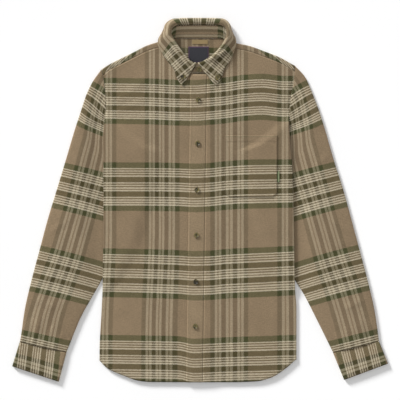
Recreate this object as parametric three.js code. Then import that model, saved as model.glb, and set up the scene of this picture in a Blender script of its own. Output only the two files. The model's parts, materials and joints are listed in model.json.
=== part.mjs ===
// A long-sleeved flannel shirt, laid flat on its back with the sleeves brought down at its sides.
// Millimetres. Seen from above, +X is to the right, +Y runs towards the collar and +Z up from
// the surface it lies on. The origin is on that surface, under the middle of the shirt.
// Left and right are those of someone looking down on the buttoned front.
import * as THREE from "three";

// Cloth and seams
const CLOTH = 1.5; // brushed cotton, one layer with its nap
const BAND = 2.0; // placket, two layers and an interlining
const LEAF = 1.8; // collar leaf and stand, two layers and a fusible
const CUFF = 2.2; // cuff, two layers and an interlining
const POCKET_CLOTH = 1.2; // pocket, pressed flat
const SEAM_GAP = 0.3;
const ARMHOLE_GAP = 0.4; // measured along X, so it is narrower square to the seam
const MIDDLE = CLOTH / 2; // height of the middle of a layer that lies on the surface

// How the layers lie
const FLAT_SPACE = 4.0; // between the middles of the front and back layers
const PRESSED_SPACE = 2.1; // the same where a sleeve lies under the body
const SLEEVE_LIFT = 4.3; // how far a sleeve underneath raises the body
const BODY_CROWN = 2.6; // how much the front swells at the middle of the chest
const SLEEVE_CROWN = 2.4;
const SLEEVE_ROUND = 0.7; // power of a sleeve's swell: under 1 it is fuller near the edges

// Where those swells begin: distances in from the side edge and the yoke, heights at the hem
const CROWN_RAMP = { side: 90, yoke: 80, hemFrom: -430, hemTo: -330 };
// Distances out from the body's edge over which a sleeve fills and then swells
const SLEEVE_RAMP = { fillFrom: 12, fillTo: 45, swellFrom: 10, swellTo: 60 };
// Heights between which the armhole seam, open, becomes the closed side fold
const FOLD_CLOSES = { top: 208, bottom: 165 };
const SLEEVE_FREE_TOP = 205; // above this a sleeve lies beside the body, not under it

// A layer turned through half a right angle: how far in from its fold, and how far up
const EIGHTH_IN = 0.29;
const EIGHTH_UP = 0.71;

// Body outline, from the hem up. x is the side edge or armhole seam at that height.
const LEFT_EDGE = [
  { y: -420, x: -224 },
  { y: -342, x: -225 },
  { y: -247, x: -220.5 },
  { y: -193, x: -218 },
  { y: 2, x: -216 },
  { y: 74, x: -216 },
  { y: 140, x: -217.5 },
  { y: 165, x: -214.9 },
  { y: 191, x: -212.6 },
  { y: 214, x: -211 },
  { y: 236, x: -212.6 },
  { y: 261, x: -214.9 },
  { y: 281, x: -218 },
  { y: 292.5, x: -221.6 },
];
const RIGHT_EDGE = [
  { y: -420, x: 216 },
  { y: -342, x: 216 },
  { y: -247, x: 216 },
  { y: -193, x: 212.6 },
  { y: 2, x: 209 },
  { y: 74, x: 206.6 },
  { y: 140, x: 201.5 },
  { y: 165, x: 199.8 },
  { y: 191, x: 199.8 },
  { y: 214, x: 202 },
  { y: 236, x: 204.8 },
  { y: 261, x: 209.8 },
  { y: 290, x: 212 },
  { y: 301.5, x: 212.5 },
];
const HEM = [
  { x: -225, y: -361 },
  { x: -206.6, y: -379 },
  { x: -171.7, y: -394.7 },
  { x: -140, y: -405.7 },
  { x: -112, y: -409 },
  { x: 0, y: -409.4 },
  { x: 67.5, y: -409.4 },
  { x: 125, y: -407.6 },
  { x: 160, y: -399 },
  { x: 194, y: -377.3 },
  { x: 216, y: -358 },
];
// The fold along the tops of the shoulders, and the back neck between them
const SHOULDER = [
  { x: -221.6, y: 292.5 },
  { x: -200, y: 306 },
  { x: -173, y: 319.5 },
  { x: -146, y: 333 },
  { x: -119, y: 346.5 },
  { x: -92, y: 355 },
  { x: -80, y: 358 },
  { x: -64, y: 362.7 },
  { x: 54, y: 362.7 },
  { x: 70, y: 356 },
  { x: 80, y: 352 },
  { x: 108, y: 346.5 },
  { x: 146, y: 333 },
  { x: 178, y: 320.5 },
  { x: 207, y: 304.5 },
  { x: 212.5, y: 301.5 },
];
const YOKE_STRIP = 11.5; // how far the yoke comes forward of the shoulder fold
const YOKE_BACK_Y = 262; // its seam across the back
// Front neck, from the yoke strip on the left down to the placket and up to the right
const FRONT_NECK = [
  { x: -80, y: 346 },
  { x: -62, y: 320 },
  { x: -44, y: 300 },
  { x: -21, y: 286 },
  { x: 14, y: 281 },
  { x: 35, y: 292 },
  { x: 55, y: 316 },
  { x: 70, y: 342 },
];

// How far out from the middle each sleeve reaches under the body, by height
const SLEEVE_REACH = [
  { y: -235, x: 290 },
  { y: -200, x: 238 },
  { y: -165, x: 210 },
  { y: -110, x: 182 },
  { y: -60, x: 164 },
  { y: -10, x: 149 },
  { y: 35, x: 139 },
  { y: 78, x: 131 },
  { y: 108, x: 129 },
  { y: 125, x: 160 },
  { y: 145, x: 188 },
  { y: 165, x: 212 },
  { y: 205, x: 262 },
];
const REACH_MARGIN = 16;
const REACH_RAMP = 34;

// Centre front: the placket leans a little to the left towards the hem
const PLACKET = { topX: -3.3, topY: 281, bottomX: -12.5, bottomY: -409.4, width: 36.7 };
const UNDERLAP = 14; // the left front runs this far past the placket's middle
const PLACKET_RISE = 2.0; // how far the right front rises to meet the placket
const RISE_WIDTH = 45;

// Rows of the body panels, as heights at the side edge, and its columns
const LOWER_ROWS = [-320, -280, -240, -200, -160, -120, -80, -45, -18, 7, 40, 75, 110, 145, 165];
const LEFT_UPPER_ROWS = [191, 214, 236, 261, 281];
const RIGHT_UPPER_ROWS = [191, 214, 236, 261, 290];
const LEFT_COLUMNS = [-180, -160, -140, -120, -100, -80, -62, -44];
const RIGHT_COLUMNS = [35, 55, 70, 102, 126, 150, 173];
const BACK_COLUMNS = [-180, -160, -140, -120, -100, -75, -40, 0, 35, 70, 95, 115, 135, 155, 175];
const EDGE_INSET = 14; // first flat column in from a side edge

// Pocket on the right front, between two of its columns and two of its rows
const POCKET = { left: 55, right: 173, bottom: 7, top: 145, corner: 9 };
const TAB = { width: 4.6, length: 24, thickness: 1.3, y: 52 };

// Sleeves: each row gives the outer and inner edge of one section, from armhole to cuff.
// bow is how much of the armhole's curve the section keeps.
const LEFT_SLEEVE = [
  { outX: -221.6, outY: 292.5, inX: -130, inY: 105, bow: 1 },
  { outX: -240.7, outY: 265.5, inX: -130.5, inY: 91, bow: 0.72 },
  { outX: -254, outY: 238.5, inX: -132, inY: 75, bow: 0.48 },
  { outX: -267.7, outY: 198, inX: -136, inY: 52, bow: 0.25 },
  { outX: -281, outY: 157.5, inX: -141, inY: 26, bow: 0.1 },
  { outX: -301, outY: 90, inX: -152, inY: -15, bow: 0 },
  { outX: -321.5, outY: 22.5, inX: -166, inY: -62, bow: 0 },
  { outX: -342, outY: -45, inX: -186, inY: -112, bow: 0 },
  { outX: -360, outY: -112.5, inX: -212, inY: -162, bow: 0 },
  { outX: -378, outY: -180, inX: -240, inY: -212, bow: 0 },
  { outX: -393.5, outY: -247.5, inX: -268, inY: -262, bow: 0 },
  { outX: -401.9, outY: -306, inX: -297.3, inY: -333, bow: 0 },
  { outX: -404.3, outY: -319.5, inX: -301.3, inY: -342.7, bow: 0 },
];
const RIGHT_SLEEVE = [
  { outX: 212.5, outY: 301.5, inX: 130, inY: 105, bow: 1 },
  { outX: 235, outY: 277, inX: 130.5, inY: 91, bow: 0.72 },
  { outX: 250.5, outY: 243, inX: 132, inY: 75, bow: 0.48 },
  { outX: 267, outY: 200, inX: 136, inY: 52, bow: 0.25 },
  { outX: 280.5, outY: 157.5, inX: 141, inY: 26, bow: 0.1 },
  { outX: 300, outY: 90, inX: 152, inY: -15, bow: 0 },
  { outX: 321.5, outY: 22.5, inX: 166, inY: -62, bow: 0 },
  { outX: 340, outY: -45, inX: 186, inY: -114, bow: 0 },
  { outX: 358, outY: -112.5, inX: 208, inY: -168, bow: 0 },
  { outX: 376, outY: -180, inX: 236, inY: -215, bow: 0 },
  { outX: 391.5, outY: -247.5, inX: 263, inY: -268, bow: 0 },
  { outX: 400.3, outY: -307.1, inX: 295.6, inY: -334, bow: 0 },
  { outX: 401.6, outY: -317.9, inX: 300.2, inY: -343.4, bow: 0 },
];
// The armhole below the visible seam, as it runs under the body to the underarm point
const ARMHOLE_UNDER = [
  { x: 201, y: 143 },
  { x: 172, y: 121 },
];
// Each cuff's two lower corners
const LEFT_CUFF = { outX: -421.2, outY: -374, inX: -318.4, inY: -408.2 };
const RIGHT_CUFF = { outX: 421.5, outY: -368, inX: 325, inY: -404 };
const CUFF_SPACE = 4.6;

// Largest folds, as soft ridges: centre, direction in degrees from +X, half length, half width
const BODY_FOLDS = [
  { x: -120, y: 150, turn: 62, length: 90, width: 26, height: 1.2 },
  { x: 120, y: 225, turn: 118, length: 80, width: 24, height: 1.1 },
  { x: -70, y: -120, turn: 84, length: 150, width: 34, height: 1.0 },
  { x: 110, y: -190, turn: 97, length: 140, width: 34, height: 1.1 },
];
const SLEEVE_FOLDS = [
  { x: 248, y: 205, turn: 128, length: 70, width: 17, height: 1.8 },
  { x: 262, y: 120, turn: 112, length: 95, width: 18, height: 1.6 },
  { x: 300, y: 10, turn: 100, length: 110, width: 22, height: 1.5 },
  { x: 335, y: -150, turn: 108, length: 90, width: 20, height: 1.4 },
  { x: 352, y: -262, turn: 115, length: 50, width: 15, height: 1.5 },
];

// Collar: each row is one rib of the leaf from the stand's top (seam) over the roll (out) to
// the leaf's edge, from the front round to the back. L and R are the left and right x.
const COLLAR = [
  { seamL: -8, seamR: -5, seamY: 307.5, crest: 14, outL: -12, outR: -1, outY: 301, outZ: 13.2,
    edgeL: -39.2, edgeR: 34.9, edgeY: 256, edgeZ: 0, base: 6, baseL: 12, baseR: -21, baseY: 286 },
  { seamL: -20, seamR: 5, seamY: 310.5, crest: 15.5, outL: -25, outR: 11, outY: 305, outZ: 14.4,
    edgeL: -51, edgeR: 47, edgeY: 271.5, edgeZ: 0, base: 6, baseL: -21, baseR: 14, baseY: 291 },
  { seamL: -37.8, seamR: 34, seamY: 330, crest: 17.5, outL: -44, outR: 40, outY: 325, outZ: 16,
    edgeL: -58, edgeR: 54, edgeY: 292, edgeZ: 0, base: 6.2, baseL: -43, baseR: 34, baseY: 307 },
  { seamL: -55.6, seamR: 54, seamY: 356, crest: 19, outL: -63, outR: 61, outY: 351, outZ: 17,
    edgeL: -75, edgeR: 68.5, edgeY: 315, edgeZ: 0, base: 6.6, baseL: -60, baseR: 52, baseY: 327 },
  { seamL: -64, seamR: 60, seamY: 373, crest: 19, outL: -78, outR: 70, outY: 370, outZ: 15,
    edgeL: -94.5, edgeR: 81, edgeY: 350, edgeZ: 0, base: 6.4, baseL: -72, baseR: 64.5, baseY: 349 },
  { seamL: -62, seamR: 57, seamY: 385, crest: 17, outL: -78.5, outR: 68, outY: 390, outZ: 10,
    edgeL: -91, edgeR: 78, edgeY: 366, edgeZ: 1.4, base: 4.4, baseL: -66, baseR: 59, baseY: 360 },
  { seamL: -46, seamR: 42, seamY: 393, crest: 15, outL: -57, outR: 50, outY: 407, outZ: 7.6,
    edgeL: -62, edgeR: 54, edgeY: 366.5, edgeZ: 1.0, base: 2.4, baseL: -48, baseR: 42, baseY: 364 },
  { seamL: -3, seamR: -3, seamY: 394, crest: 14, outL: -3, outR: -3, outY: 408.5, outZ: 7.4,
    edgeL: -3, edgeR: -3, edgeY: 366.5, edgeZ: 1.0, base: 2.4, baseL: -3, baseR: -3, baseY: 364 },
];
const COLLAR_STEPS = 3; // ribs made between two rows
const LEAF_SHARES = [0, 0.05, 0.11, 0.18, 0.27, 0.4, 0.58, 0.8, 1]; // places along a rib
const STAND_SHARES = [0, 0.35, 0.7, 1];
const SEAM_DROP = 3; // the leaf starts this far below its crest
const CREST_SHARE = 0.4; // of the way from the seam out to the roll
const TURN_SHARE = 0.25; // of the way from the roll out to the edge, where the leaf lies down
const TURN_DROP = { high: 0.35, low: 0.85 }; // how far it has come down there, by roll height
const LOW_ROLL = 12; // a roll below this is a low one
const LEAF_REST = 0.2; // above the seam gap, where a leaf's edge lies on a front
const STAND_CLEAR = 2.3; // from the stand's top edge to the start of the leaf
const UNDER_LAP = 2.2; // the stand's under end lies this far below its upper end
const UNDER_RIBS = { from: 0.3, to: 1.6 }; // ribs over which the under end comes up level

// Trims
const BUTTON = { radius: 5.65, thickness: 2.4, rim: 1.1, dish: 0.6, chamfer: 0.6, sides: 16 };
const PLACKET_BUTTON_Y = [225, 127, 22.5, -79, -183.4, -283.5];
const STAND_BUTTON = { rib: 0.5, up: 0.3 };
const LEFT_POINT_BUTTON = { rib: 0.55, down: 0.74 };
const RIGHT_POINT_BUTTON = { rib: 0.85, down: 0.86 };
const BUTTON_CLEAR = 0.45; // under a button on a curved piece
const LABEL = { left: -26, right: 19.5, bottom: 309, top: 345, thickness: 0.7 };
const TAPE = { left: -18, right: 18, bottom: 350.5, top: 360, thickness: 1.0 };

// Finishes, one plain colour each
const COLOURS = {
  flannel: { color: 0x85755c, roughness: 0.93, metalness: 0 },
  sleeves: { color: 0x7d7058, roughness: 0.93, metalness: 0 },
  trimCloth: { color: 0x8d7d63, roughness: 0.9, metalness: 0 },
  label: { color: 0x24243a, roughness: 0.75, metalness: 0 },
  tape: { color: 0x9a8450, roughness: 0.85, metalness: 0 },
  tab: { color: 0x6f7a4c, roughness: 0.8, metalness: 0 },
  horn: { color: 0x5b4f36, roughness: 0.4, metalness: 0 },
};

const shirt = new THREE.Group();
shirt.name = "flannel_shirt";

// Number helpers

// 0 up to the first limit, 1 past the second, and a soft curve between.
function ease(from, to, value) {
  const share = Math.min(1, Math.max(0, (value - from) / (to - from)));
  return share * share * (3 - 2 * share);
}

function mix(from, to, share) {
  return from + (to - from) * share;
}

// A smooth curve through a table: the value of one column where another holds a given place.
// Its slopes are those of the neighbours on each side, and none overshoots a row.
function read(table, key, column, place) {
  const last = table.length - 1;
  if (place <= table[0][key]) return table[0][column];
  if (place >= table[last][key]) return table[last][column];
  let row = 0;
  while (place > table[row + 1][key]) row += 1;
  const slope = (k) =>
    (table[k + 1][column] - table[k][column]) / (table[k + 1][key] - table[k][key]);
  const tangent = (k) => {
    if (k === 0) return slope(0);
    if (k === last) return slope(last - 1);
    const before = slope(k - 1);
    const after = slope(k);
    return before * after <= 0 ? 0 : (2 * before * after) / (before + after);
  };
  const span = table[row + 1][key] - table[row][key];
  const t = (place - table[row][key]) / span;
  const rise = t * t * (3 - 2 * t);
  return (
    mix(table[row][column], table[row + 1][column], rise) +
    span * t * (1 - t) * ((1 - t) * tangent(row) - t * tangent(row + 1))
  );
}

// Heights of the layers

const leftEdge = (y) => read(LEFT_EDGE, "y", "x", y);
const rightEdge = (y) => read(RIGHT_EDGE, "y", "x", y);
const hemAt = (x) => read(HEM, "x", "y", x);
const shoulderAt = (x) => read(SHOULDER, "x", "y", x);
const edgeAt = (side, y) => (side < 0 ? leftEdge(y) : rightEdge(y));

function ridges(folds, x, y, side = 1) {
  let height = 0;
  for (const fold of folds) {
    const turn = THREE.MathUtils.degToRad(fold.turn) * side;
    const dx = x - fold.x * side;
    const dy = y - fold.y;
    const alongFold = (dx * Math.cos(turn) + dy * Math.sin(turn)) * side;
    const across = -dx * Math.sin(turn) + dy * Math.cos(turn);
    const end = 1 - ease(0.4 * fold.length, fold.length, Math.abs(alongFold));
    height += fold.height * end * Math.exp(-((across / fold.width) ** 2));
  }
  return height;
}

// How much a sleeve below raises the body at a place.
function liftAt(x, y) {
  const full = read(SLEEVE_REACH, "y", "x", y) - REACH_MARGIN;
  return SLEEVE_LIFT * ease(full - REACH_RAMP, full, Math.abs(x));
}

function backAt(x, y) {
  return MIDDLE + liftAt(x, y);
}

// Space between the front and back layers: least at the edges, most at the chest.
function spaceAt(x, y) {
  const inset = Math.min(x - leftEdge(y), rightEdge(y) - x);
  const top = shoulderAt(x) - YOKE_STRIP - y;
  const { side, yoke, hemFrom, hemTo } = CROWN_RAMP;
  const crown = ease(0, side, inset) * ease(0, yoke, top) * ease(hemFrom, hemTo, y);
  return FLAT_SPACE + crown * (BODY_CROWN + ridges(BODY_FOLDS, x, y));
}

function placketX(y) {
  const share = (y - PLACKET.bottomY) / (PLACKET.topY - PLACKET.bottomY);
  return mix(PLACKET.bottomX, PLACKET.topX, share);
}

function leftFrontAt(x, y) {
  return backAt(x, y) + spaceAt(x, y);
}

function rightFrontAt(x, y) {
  const fromPlacket = x - placketX(y) - PLACKET.width / 2;
  return leftFrontAt(x, y) + PLACKET_RISE * (1 - ease(0, RISE_WIDTH, fromPlacket));
}

// Share of the side fold that is closed: open along the armhole seam, closed below it.
function closedAt(y) {
  return 1 - ease(FOLD_CLOSES.bottom, FOLD_CLOSES.top, y);
}

// Solids from grids of points

// Faces between two rows of point numbers, turned over if flip is true.
function stitch(faces, rowA, rowB, flip) {
  for (let k = 0; k < rowA.length - 1; k += 1) {
    const [a, b, c, d] = [rowA[k], rowA[k + 1], rowB[k + 1], rowB[k]];
    if (flip) faces.push(a, c, b, a, d, c);
    else faces.push(a, b, c, a, c, d);
  }
}

function solid(points, faces) {
  const geometry = new THREE.BufferGeometry();
  geometry.setAttribute(
    "position",
    new THREE.Float32BufferAttribute(points.flatMap((p) => [p.x, p.y, p.z]), 3),
  );
  geometry.setIndex(faces);
  geometry.computeVertexNormals();
  return geometry;
}

// Directions square to a grid of points. around closes each row on itself.
function normalsOf(grid, around) {
  const rows = grid.length;
  const count = grid[0].length;
  return grid.map((row, r) =>
    row.map((_, c) => {
      const up = grid[Math.min(r + 1, rows - 1)][c];
      const down = grid[Math.max(r - 1, 0)][c];
      const right = around ? row[(c + 1) % count] : row[Math.min(c + 1, count - 1)];
      const left = around ? row[(c - 1 + count) % count] : row[Math.max(c - 1, 0)];
      const across = new THREE.Vector3().subVectors(right, left);
      return across.cross(new THREE.Vector3().subVectors(up, down)).normalize();
    }),
  );
}

// A closed wall on both sides of a grid of middle points. With columns running left to right
// and rows bottom to top as seen from outside, its faces point out.
function wall(grid, thickness, around = false) {
  const normals = normalsOf(grid, around);
  const count = grid[0].length;
  const points = [];
  for (const side of [1, -1])
    grid.forEach((row, r) =>
      row.forEach((p, c) =>
        points.push(p.clone().addScaledVector(normals[r][c], (side * thickness) / 2)),
      ),
    );
  const half = grid.length * count;
  const line = (r, base) => {
    const numbers = Array.from({ length: count }, (_, c) => base + r * count + c);
    return around ? [...numbers, base + r * count] : numbers;
  };
  const faces = [];
  for (let r = 0; r < grid.length - 1; r += 1) {
    stitch(faces, line(r, 0), line(r + 1, 0), false);
    stitch(faces, line(r, half), line(r + 1, half), true);
  }
  stitch(faces, line(0, 0), line(0, half), true);
  stitch(faces, line(grid.length - 1, 0), line(grid.length - 1, half), false);
  if (!around) {
    const column = (c, base) => grid.map((_, r) => base + r * count + c);
    stitch(faces, column(0, 0), column(0, half), false);
    stitch(faces, column(count - 1, 0), column(count - 1, half), true);
  }
  return solid(points, faces);
}

function add(name, geometry, finish) {
  const mesh = new THREE.Mesh(geometry, new THREE.MeshStandardMaterial(finish));
  mesh.name = name;
  shirt.add(mesh);
  return mesh;
}

// Yoke: flat across the back, then round the shoulder fold to a strip on the front.
// At the neck the wrap dies away and the edge is the back neck seam.
const YOKE_COLUMNS = [
  -1, -0.86, -0.7, -0.54, -0.42, -0.36, -0.28, -0.1, 0.1, 0.25, 0.34, 0.42, 0.54, 0.7, 0.86, 1,
];
const YOKE_FLAT_ROWS = [0, 0.35, 0.7]; // shares of the flat part, from the back seam up
const WRAP_ANGLES = [0, 45, 90, 135, 180];
const WRAP_ENDS = { left: -78, right: 71, width: 16 };
const NECK_STEP = 0.9; // between the yoke's last rows where it ends at the back neck

function yokeColumn(share) {
  const tip = share < 0 ? SHOULDER[0] : SHOULDER[SHOULDER.length - 1];
  const foldX = Math.abs(tip.x) * share;
  const foldY = shoulderAt(foldX);
  const wrap = Math.max(
    1 - ease(WRAP_ENDS.left, WRAP_ENDS.left + WRAP_ENDS.width, foldX),
    ease(WRAP_ENDS.right - WRAP_ENDS.width, WRAP_ENDS.right, foldX),
  );
  const radius = FLAT_SPACE / 2;
  const place = (y, z) =>
    new THREE.Vector3(edgeAt(Math.sign(share), y) * Math.abs(share), y, z);
  const start = YOKE_BACK_Y + SEAM_GAP / 2;
  const column = YOKE_FLAT_ROWS.map((part) => place(mix(start, foldY - radius, part), MIDDLE));
  for (const angle of WRAP_ANGLES) {
    const turn = THREE.MathUtils.degToRad(angle * wrap);
    const out = radius * Math.sin(turn) + (1 - wrap) * radius * (angle / 180);
    column.push(place(foldY - radius + out, MIDDLE + radius * (1 - Math.cos(turn)) * wrap));
  }
  const end = column[column.length - 1];
  const strip = (YOKE_STRIP - radius) * wrap;
  for (const part of [0.5, 1]) {
    const forward = wrap > 0.5 ? -strip * part : NECK_STEP * part;
    column.push(place(end.y + forward, end.z));
  }
  return column;
}

const yokeColumns = YOKE_COLUMNS.map(yokeColumn);
const yokeGrid = yokeColumns[0].map((_, r) => yokeColumns.map((column) => column[r]));
add("yoke", wall(yokeGrid, CLOTH), COLOURS.flannel);

// Body panels

// Where the rounded side fold sets a column: inset from the edge, and share of its turn.
const FOLD_STEPS = [
  { inset: 0, rise: 0 },
  { inset: 0.07, rise: 0.36 },
  { inset: EIGHTH_IN, rise: EIGHTH_UP },
  { inset: 1, rise: 1 },
];
const FOLD_GAP = 0.3; // from the middle of the fold to each layer's end
const HEM_LEVEL = -400; // about the height of the hem, where a column's own x is read
const BACK_HEM_RISE = 1.5; // the back's hem lies this much inside the front's
const BACK_UPPER_ROWS = [191, 214, 236, YOKE_BACK_Y - SEAM_GAP / 2];

// Height of a side-fold column: it leaves the flat layer and ends halfway between the two.
function foldedHeight(flat, middle, rise, y) {
  return mix(flat, mix(middle, flat, rise), closedAt(y));
}

// The heights of one column's rows, fitted to the hem below and the top edge above.
function rowHeights(upperRows, hemY, topY, edgeTop) {
  const base = LOWER_ROWS[LOWER_ROWS.length - 1];
  const stretch = (topY - base) / (edgeTop - base);
  return [hemY, ...LOWER_ROWS, ...upperRows.map((y) => base + (y - base) * stretch)];
}

// The columns next to a side edge, from its fold in to the first flat one. at(y) gives x.
function edgeColumns(side) {
  const columns = FOLD_STEPS.map((step) => ({
    at: (y) => edgeAt(side, y) - side * step.inset * (FLAT_SPACE / 2),
    rise: step.rise,
  }));
  return [...columns, { at: (y) => edgeAt(side, y) - side * EDGE_INSET, rise: 1 }];
}

// A front's columns from its side edge to the placket
function frontColumns(side) {
  const columns = edgeColumns(side);
  const inner = side < 0 ? LEFT_COLUMNS : [...RIGHT_COLUMNS].reverse();
  for (const x of inner) columns.push({ at: () => x, rise: 1 });
  const half = PLACKET.width / 2;
  if (side < 0) columns.push({ at: (y) => placketX(y) - half, rise: 1 });
  const last = side < 0 ? UNDERLAP : half + SEAM_GAP;
  columns.push({ at: (y) => placketX(y) + last, rise: 1 });
  return columns;
}

// Top edge of a front: along the end of the yoke's strip, or round the neck between.
function frontTopAt(x) {
  const last = FRONT_NECK.length - 1;
  if (x > FRONT_NECK[0].x - 1 && x < FRONT_NECK[last].x + 1) return read(FRONT_NECK, "x", "y", x);
  const ends = yokeGrid[yokeGrid.length - 1];
  const beyond = ends.findIndex((p) => p.x > x);
  const next = beyond < 0 ? ends.length - 1 : Math.max(1, beyond);
  const share = (x - ends[next - 1].x) / (ends[next].x - ends[next - 1].x);
  return mix(ends[next - 1].y, ends[next].y, share);
}

function frontGrid(side) {
  const upperRows = side < 0 ? LEFT_UPPER_ROWS : RIGHT_UPPER_ROWS;
  const edgeTop = upperRows[upperRows.length - 1];
  const height = side < 0 ? leftFrontAt : rightFrontAt;
  const columns = frontColumns(side).map((column) => {
    let topY = edgeTop;
    for (let round = 0; round < 4; round += 1) topY = frontTopAt(column.at(topY)) - SEAM_GAP;
    const hemY = hemAt(column.at(HEM_LEVEL));
    return rowHeights(upperRows, hemY, topY, edgeTop).map((y) => {
      const x = column.at(y);
      const flat = height(x, y);
      const middle = backAt(x, y) + FLAT_SPACE / 2 + FOLD_GAP;
      return new THREE.Vector3(x, y, foldedHeight(flat, middle, column.rise, y));
    });
  });
  if (side > 0) columns.reverse();
  return columns[0].map((_, r) => columns.map((column) => column[r]));
}

function backGrid() {
  const inner = BACK_COLUMNS.map((x) => ({ at: () => x, rise: 1 }));
  const columns = [...edgeColumns(-1), ...inner, ...edgeColumns(1).reverse()];
  const rows = [...LOWER_ROWS, ...BACK_UPPER_ROWS];
  const grid = columns.map((column) =>
    [hemAt(column.at(HEM_LEVEL)) + BACK_HEM_RISE, ...rows].map((y) => {
      const x = column.at(y);
      const flat = backAt(x, y);
      const middle = flat + FLAT_SPACE / 2 - FOLD_GAP;
      return new THREE.Vector3(x, y, foldedHeight(flat, middle, column.rise, y));
    }),
  );
  return grid[0].map((_, r) => grid.map((column) => column[r]));
}

const leftFront = frontGrid(-1);
const rightFront = frontGrid(1);
add("back", wall(backGrid(), CLOTH), COLOURS.flannel);
add("front_left", wall(leftFront, CLOTH), COLOURS.flannel);
add("front_right", wall(rightFront, CLOTH), COLOURS.flannel);

// Placket: a band on the left front's points, moved up
function placketGrid() {
  const lastColumn = leftFront[0].length - 1;
  const half = PLACKET.width / 2;
  const lift = CLOTH / 2 + SEAM_GAP + BAND / 2;
  return leftFront.map((row) => {
    const y = row[lastColumn].y;
    return [-half, 2 - half, 0, half - 2, half].map((offset) => {
      const x = placketX(y) + offset;
      return new THREE.Vector3(x, y, leftFrontAt(x, y) + lift);
    });
  });
}
add("placket", wall(placketGrid(), BAND), COLOURS.trimCloth);

// Pocket: the right front's own points between its edges, moved up
function pocketGrid() {
  const lift = CLOTH / 2 + SEAM_GAP + POCKET_CLOTH / 2;
  const nearly = 0.5;
  const inside = (value, low, high) => value > low - nearly && value < high + nearly;
  const rows = rightFront.filter((row) => inside(row[0].y, POCKET.bottom, POCKET.top));
  return rows.map((row, r) =>
    row
      .filter((p) => inside(p.x, POCKET.left, POCKET.right))
      .map((p, c, all) => {
        const corner = r === 0 && (c === 0 || c === all.length - 1);
        const cut = corner ? POCKET.corner : 0;
        return new THREE.Vector3(p.x, p.y + cut, p.z + lift);
      }),
  );
}
add("pocket", wall(pocketGrid(), POCKET_CLOTH), COLOURS.flannel);

// A flat strip on a height function, with its middle lifted clear of what it lies on.
function strip({ left, right, bottom, top, thickness }, heightAt) {
  const grid = [0, 0.5, 1].map((up) =>
    [0, 0.5, 1].map((over) => {
      const x = mix(left, right, over);
      const y = mix(bottom, top, up);
      return new THREE.Vector3(x, y, heightAt(x, y) + CLOTH / 2 + SEAM_GAP + thickness / 2);
    }),
  );
  return wall(grid, thickness);
}

const tabPlace = {
  left: POCKET.right + SEAM_GAP,
  right: POCKET.right + SEAM_GAP + TAB.width,
  bottom: TAB.y - TAB.length / 2,
  top: TAB.y + TAB.length / 2,
  thickness: TAB.thickness,
};
add("pocket_tab", strip(tabPlace, rightFrontAt), COLOURS.tab);

// Sleeves

// The armhole seam of one side as places along it, from the shoulder tip to the underarm.
function armhole(side) {
  const rows = side < 0 ? LEFT_UPPER_ROWS : RIGHT_UPPER_ROWS;
  const outside = (y) =>
    edgeAt(side, y) + side * (ARMHOLE_GAP + (CLOTH / 2) * Math.min(1, 5 * closedAt(y)));
  const seam = [FOLD_CLOSES.bottom, ...rows].reverse().map((y) => ({ x: outside(y), y }));
  for (const p of ARMHOLE_UNDER) seam.push({ x: side * p.x, y: p.y });
  return seam;
}

function sleeveSpace(side, x, y) {
  const { fillFrom, fillTo, swellFrom, swellTo } = SLEEVE_RAMP;
  const beyond = side * (x - edgeAt(side, y));
  const above = ease(FOLD_CLOSES.bottom, SLEEVE_FREE_TOP, y);
  const free = Math.max(ease(fillFrom, fillTo, beyond), above);
  const height = SLEEVE_CROWN + ridges(SLEEVE_FOLDS, x, y, side);
  return { space: mix(PRESSED_SPACE, FLAT_SPACE, free), swell: ease(swellFrom, swellTo, beyond) * height };
}

// One section of a sleeve, through the same stops as the armhole: turn is 0 at its two edges.
function sleeveRing(side, row, stops) {
  const top = [];
  const bottom = [];
  for (const stop of stops) {
    const x = mix(row.outX, row.inX, stop.share) + row.bow * stop.x;
    const y = mix(row.outY, row.inY, stop.share) + row.bow * stop.y;
    const { space, swell } = sleeveSpace(side, x, y);
    const crown = swell * Math.sin(Math.PI * stop.share) ** SLEEVE_ROUND;
    const middle = MIDDLE + space / 2;
    top.push(new THREE.Vector3(x, y, middle + (space / 2 + crown) * stop.turn));
    bottom.push(new THREE.Vector3(x, y, middle - (space / 2) * stop.turn));
  }
  const ring = [...top, ...bottom.slice(1, -1).reverse()];
  return side < 0 ? ring : ring.reverse();
}

// The stops round a sleeve's top layer, each with its share of the way and how far the
// armhole bows out there from a straight line.
function sleeveStops(start, seam) {
  const radius = FLAT_SPACE / 2;
  const towards = (from, to, distance) => {
    const share = distance / Math.hypot(to.x - from.x, to.y - from.y);
    return { x: mix(from.x, to.x, share), y: mix(from.y, to.y, share) };
  };
  const tip = { x: start.outX, y: start.outY };
  const under = { x: start.inX, y: start.inY };
  const last = seam[seam.length - 1];
  const places = [
    { ...tip, turn: 0 },
    { ...towards(tip, seam[0], EIGHTH_IN * radius), turn: EIGHTH_UP },
    { ...towards(tip, seam[0], radius), turn: 1 },
    ...seam.map((p) => ({ ...p, turn: 1 })),
    { ...towards(under, last, radius), turn: 1 },
    { ...towards(under, last, EIGHTH_IN * radius), turn: EIGHTH_UP },
    { ...under, turn: 0 },
  ];
  let gone = 0;
  const lengths = places.map((p, k) => {
    if (k > 0) gone += Math.hypot(p.x - places[k - 1].x, p.y - places[k - 1].y);
    return gone;
  });
  return places.map((p, k) => {
    const share = lengths[k] / gone;
    const straight = { x: mix(tip.x, under.x, share), y: mix(tip.y, under.y, share) };
    return { share, turn: p.turn, x: p.x - straight.x, y: p.y - straight.y };
  });
}

function sleeveGrid(side) {
  const table = side < 0 ? LEFT_SLEEVE : RIGHT_SLEEVE;
  const start = { ...table[0], outX: table[0].outX + side * ARMHOLE_GAP };
  const stops = sleeveStops(start, armhole(side));
  return [start, ...table.slice(1)].map((row) => sleeveRing(side, row, stops));
}

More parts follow.
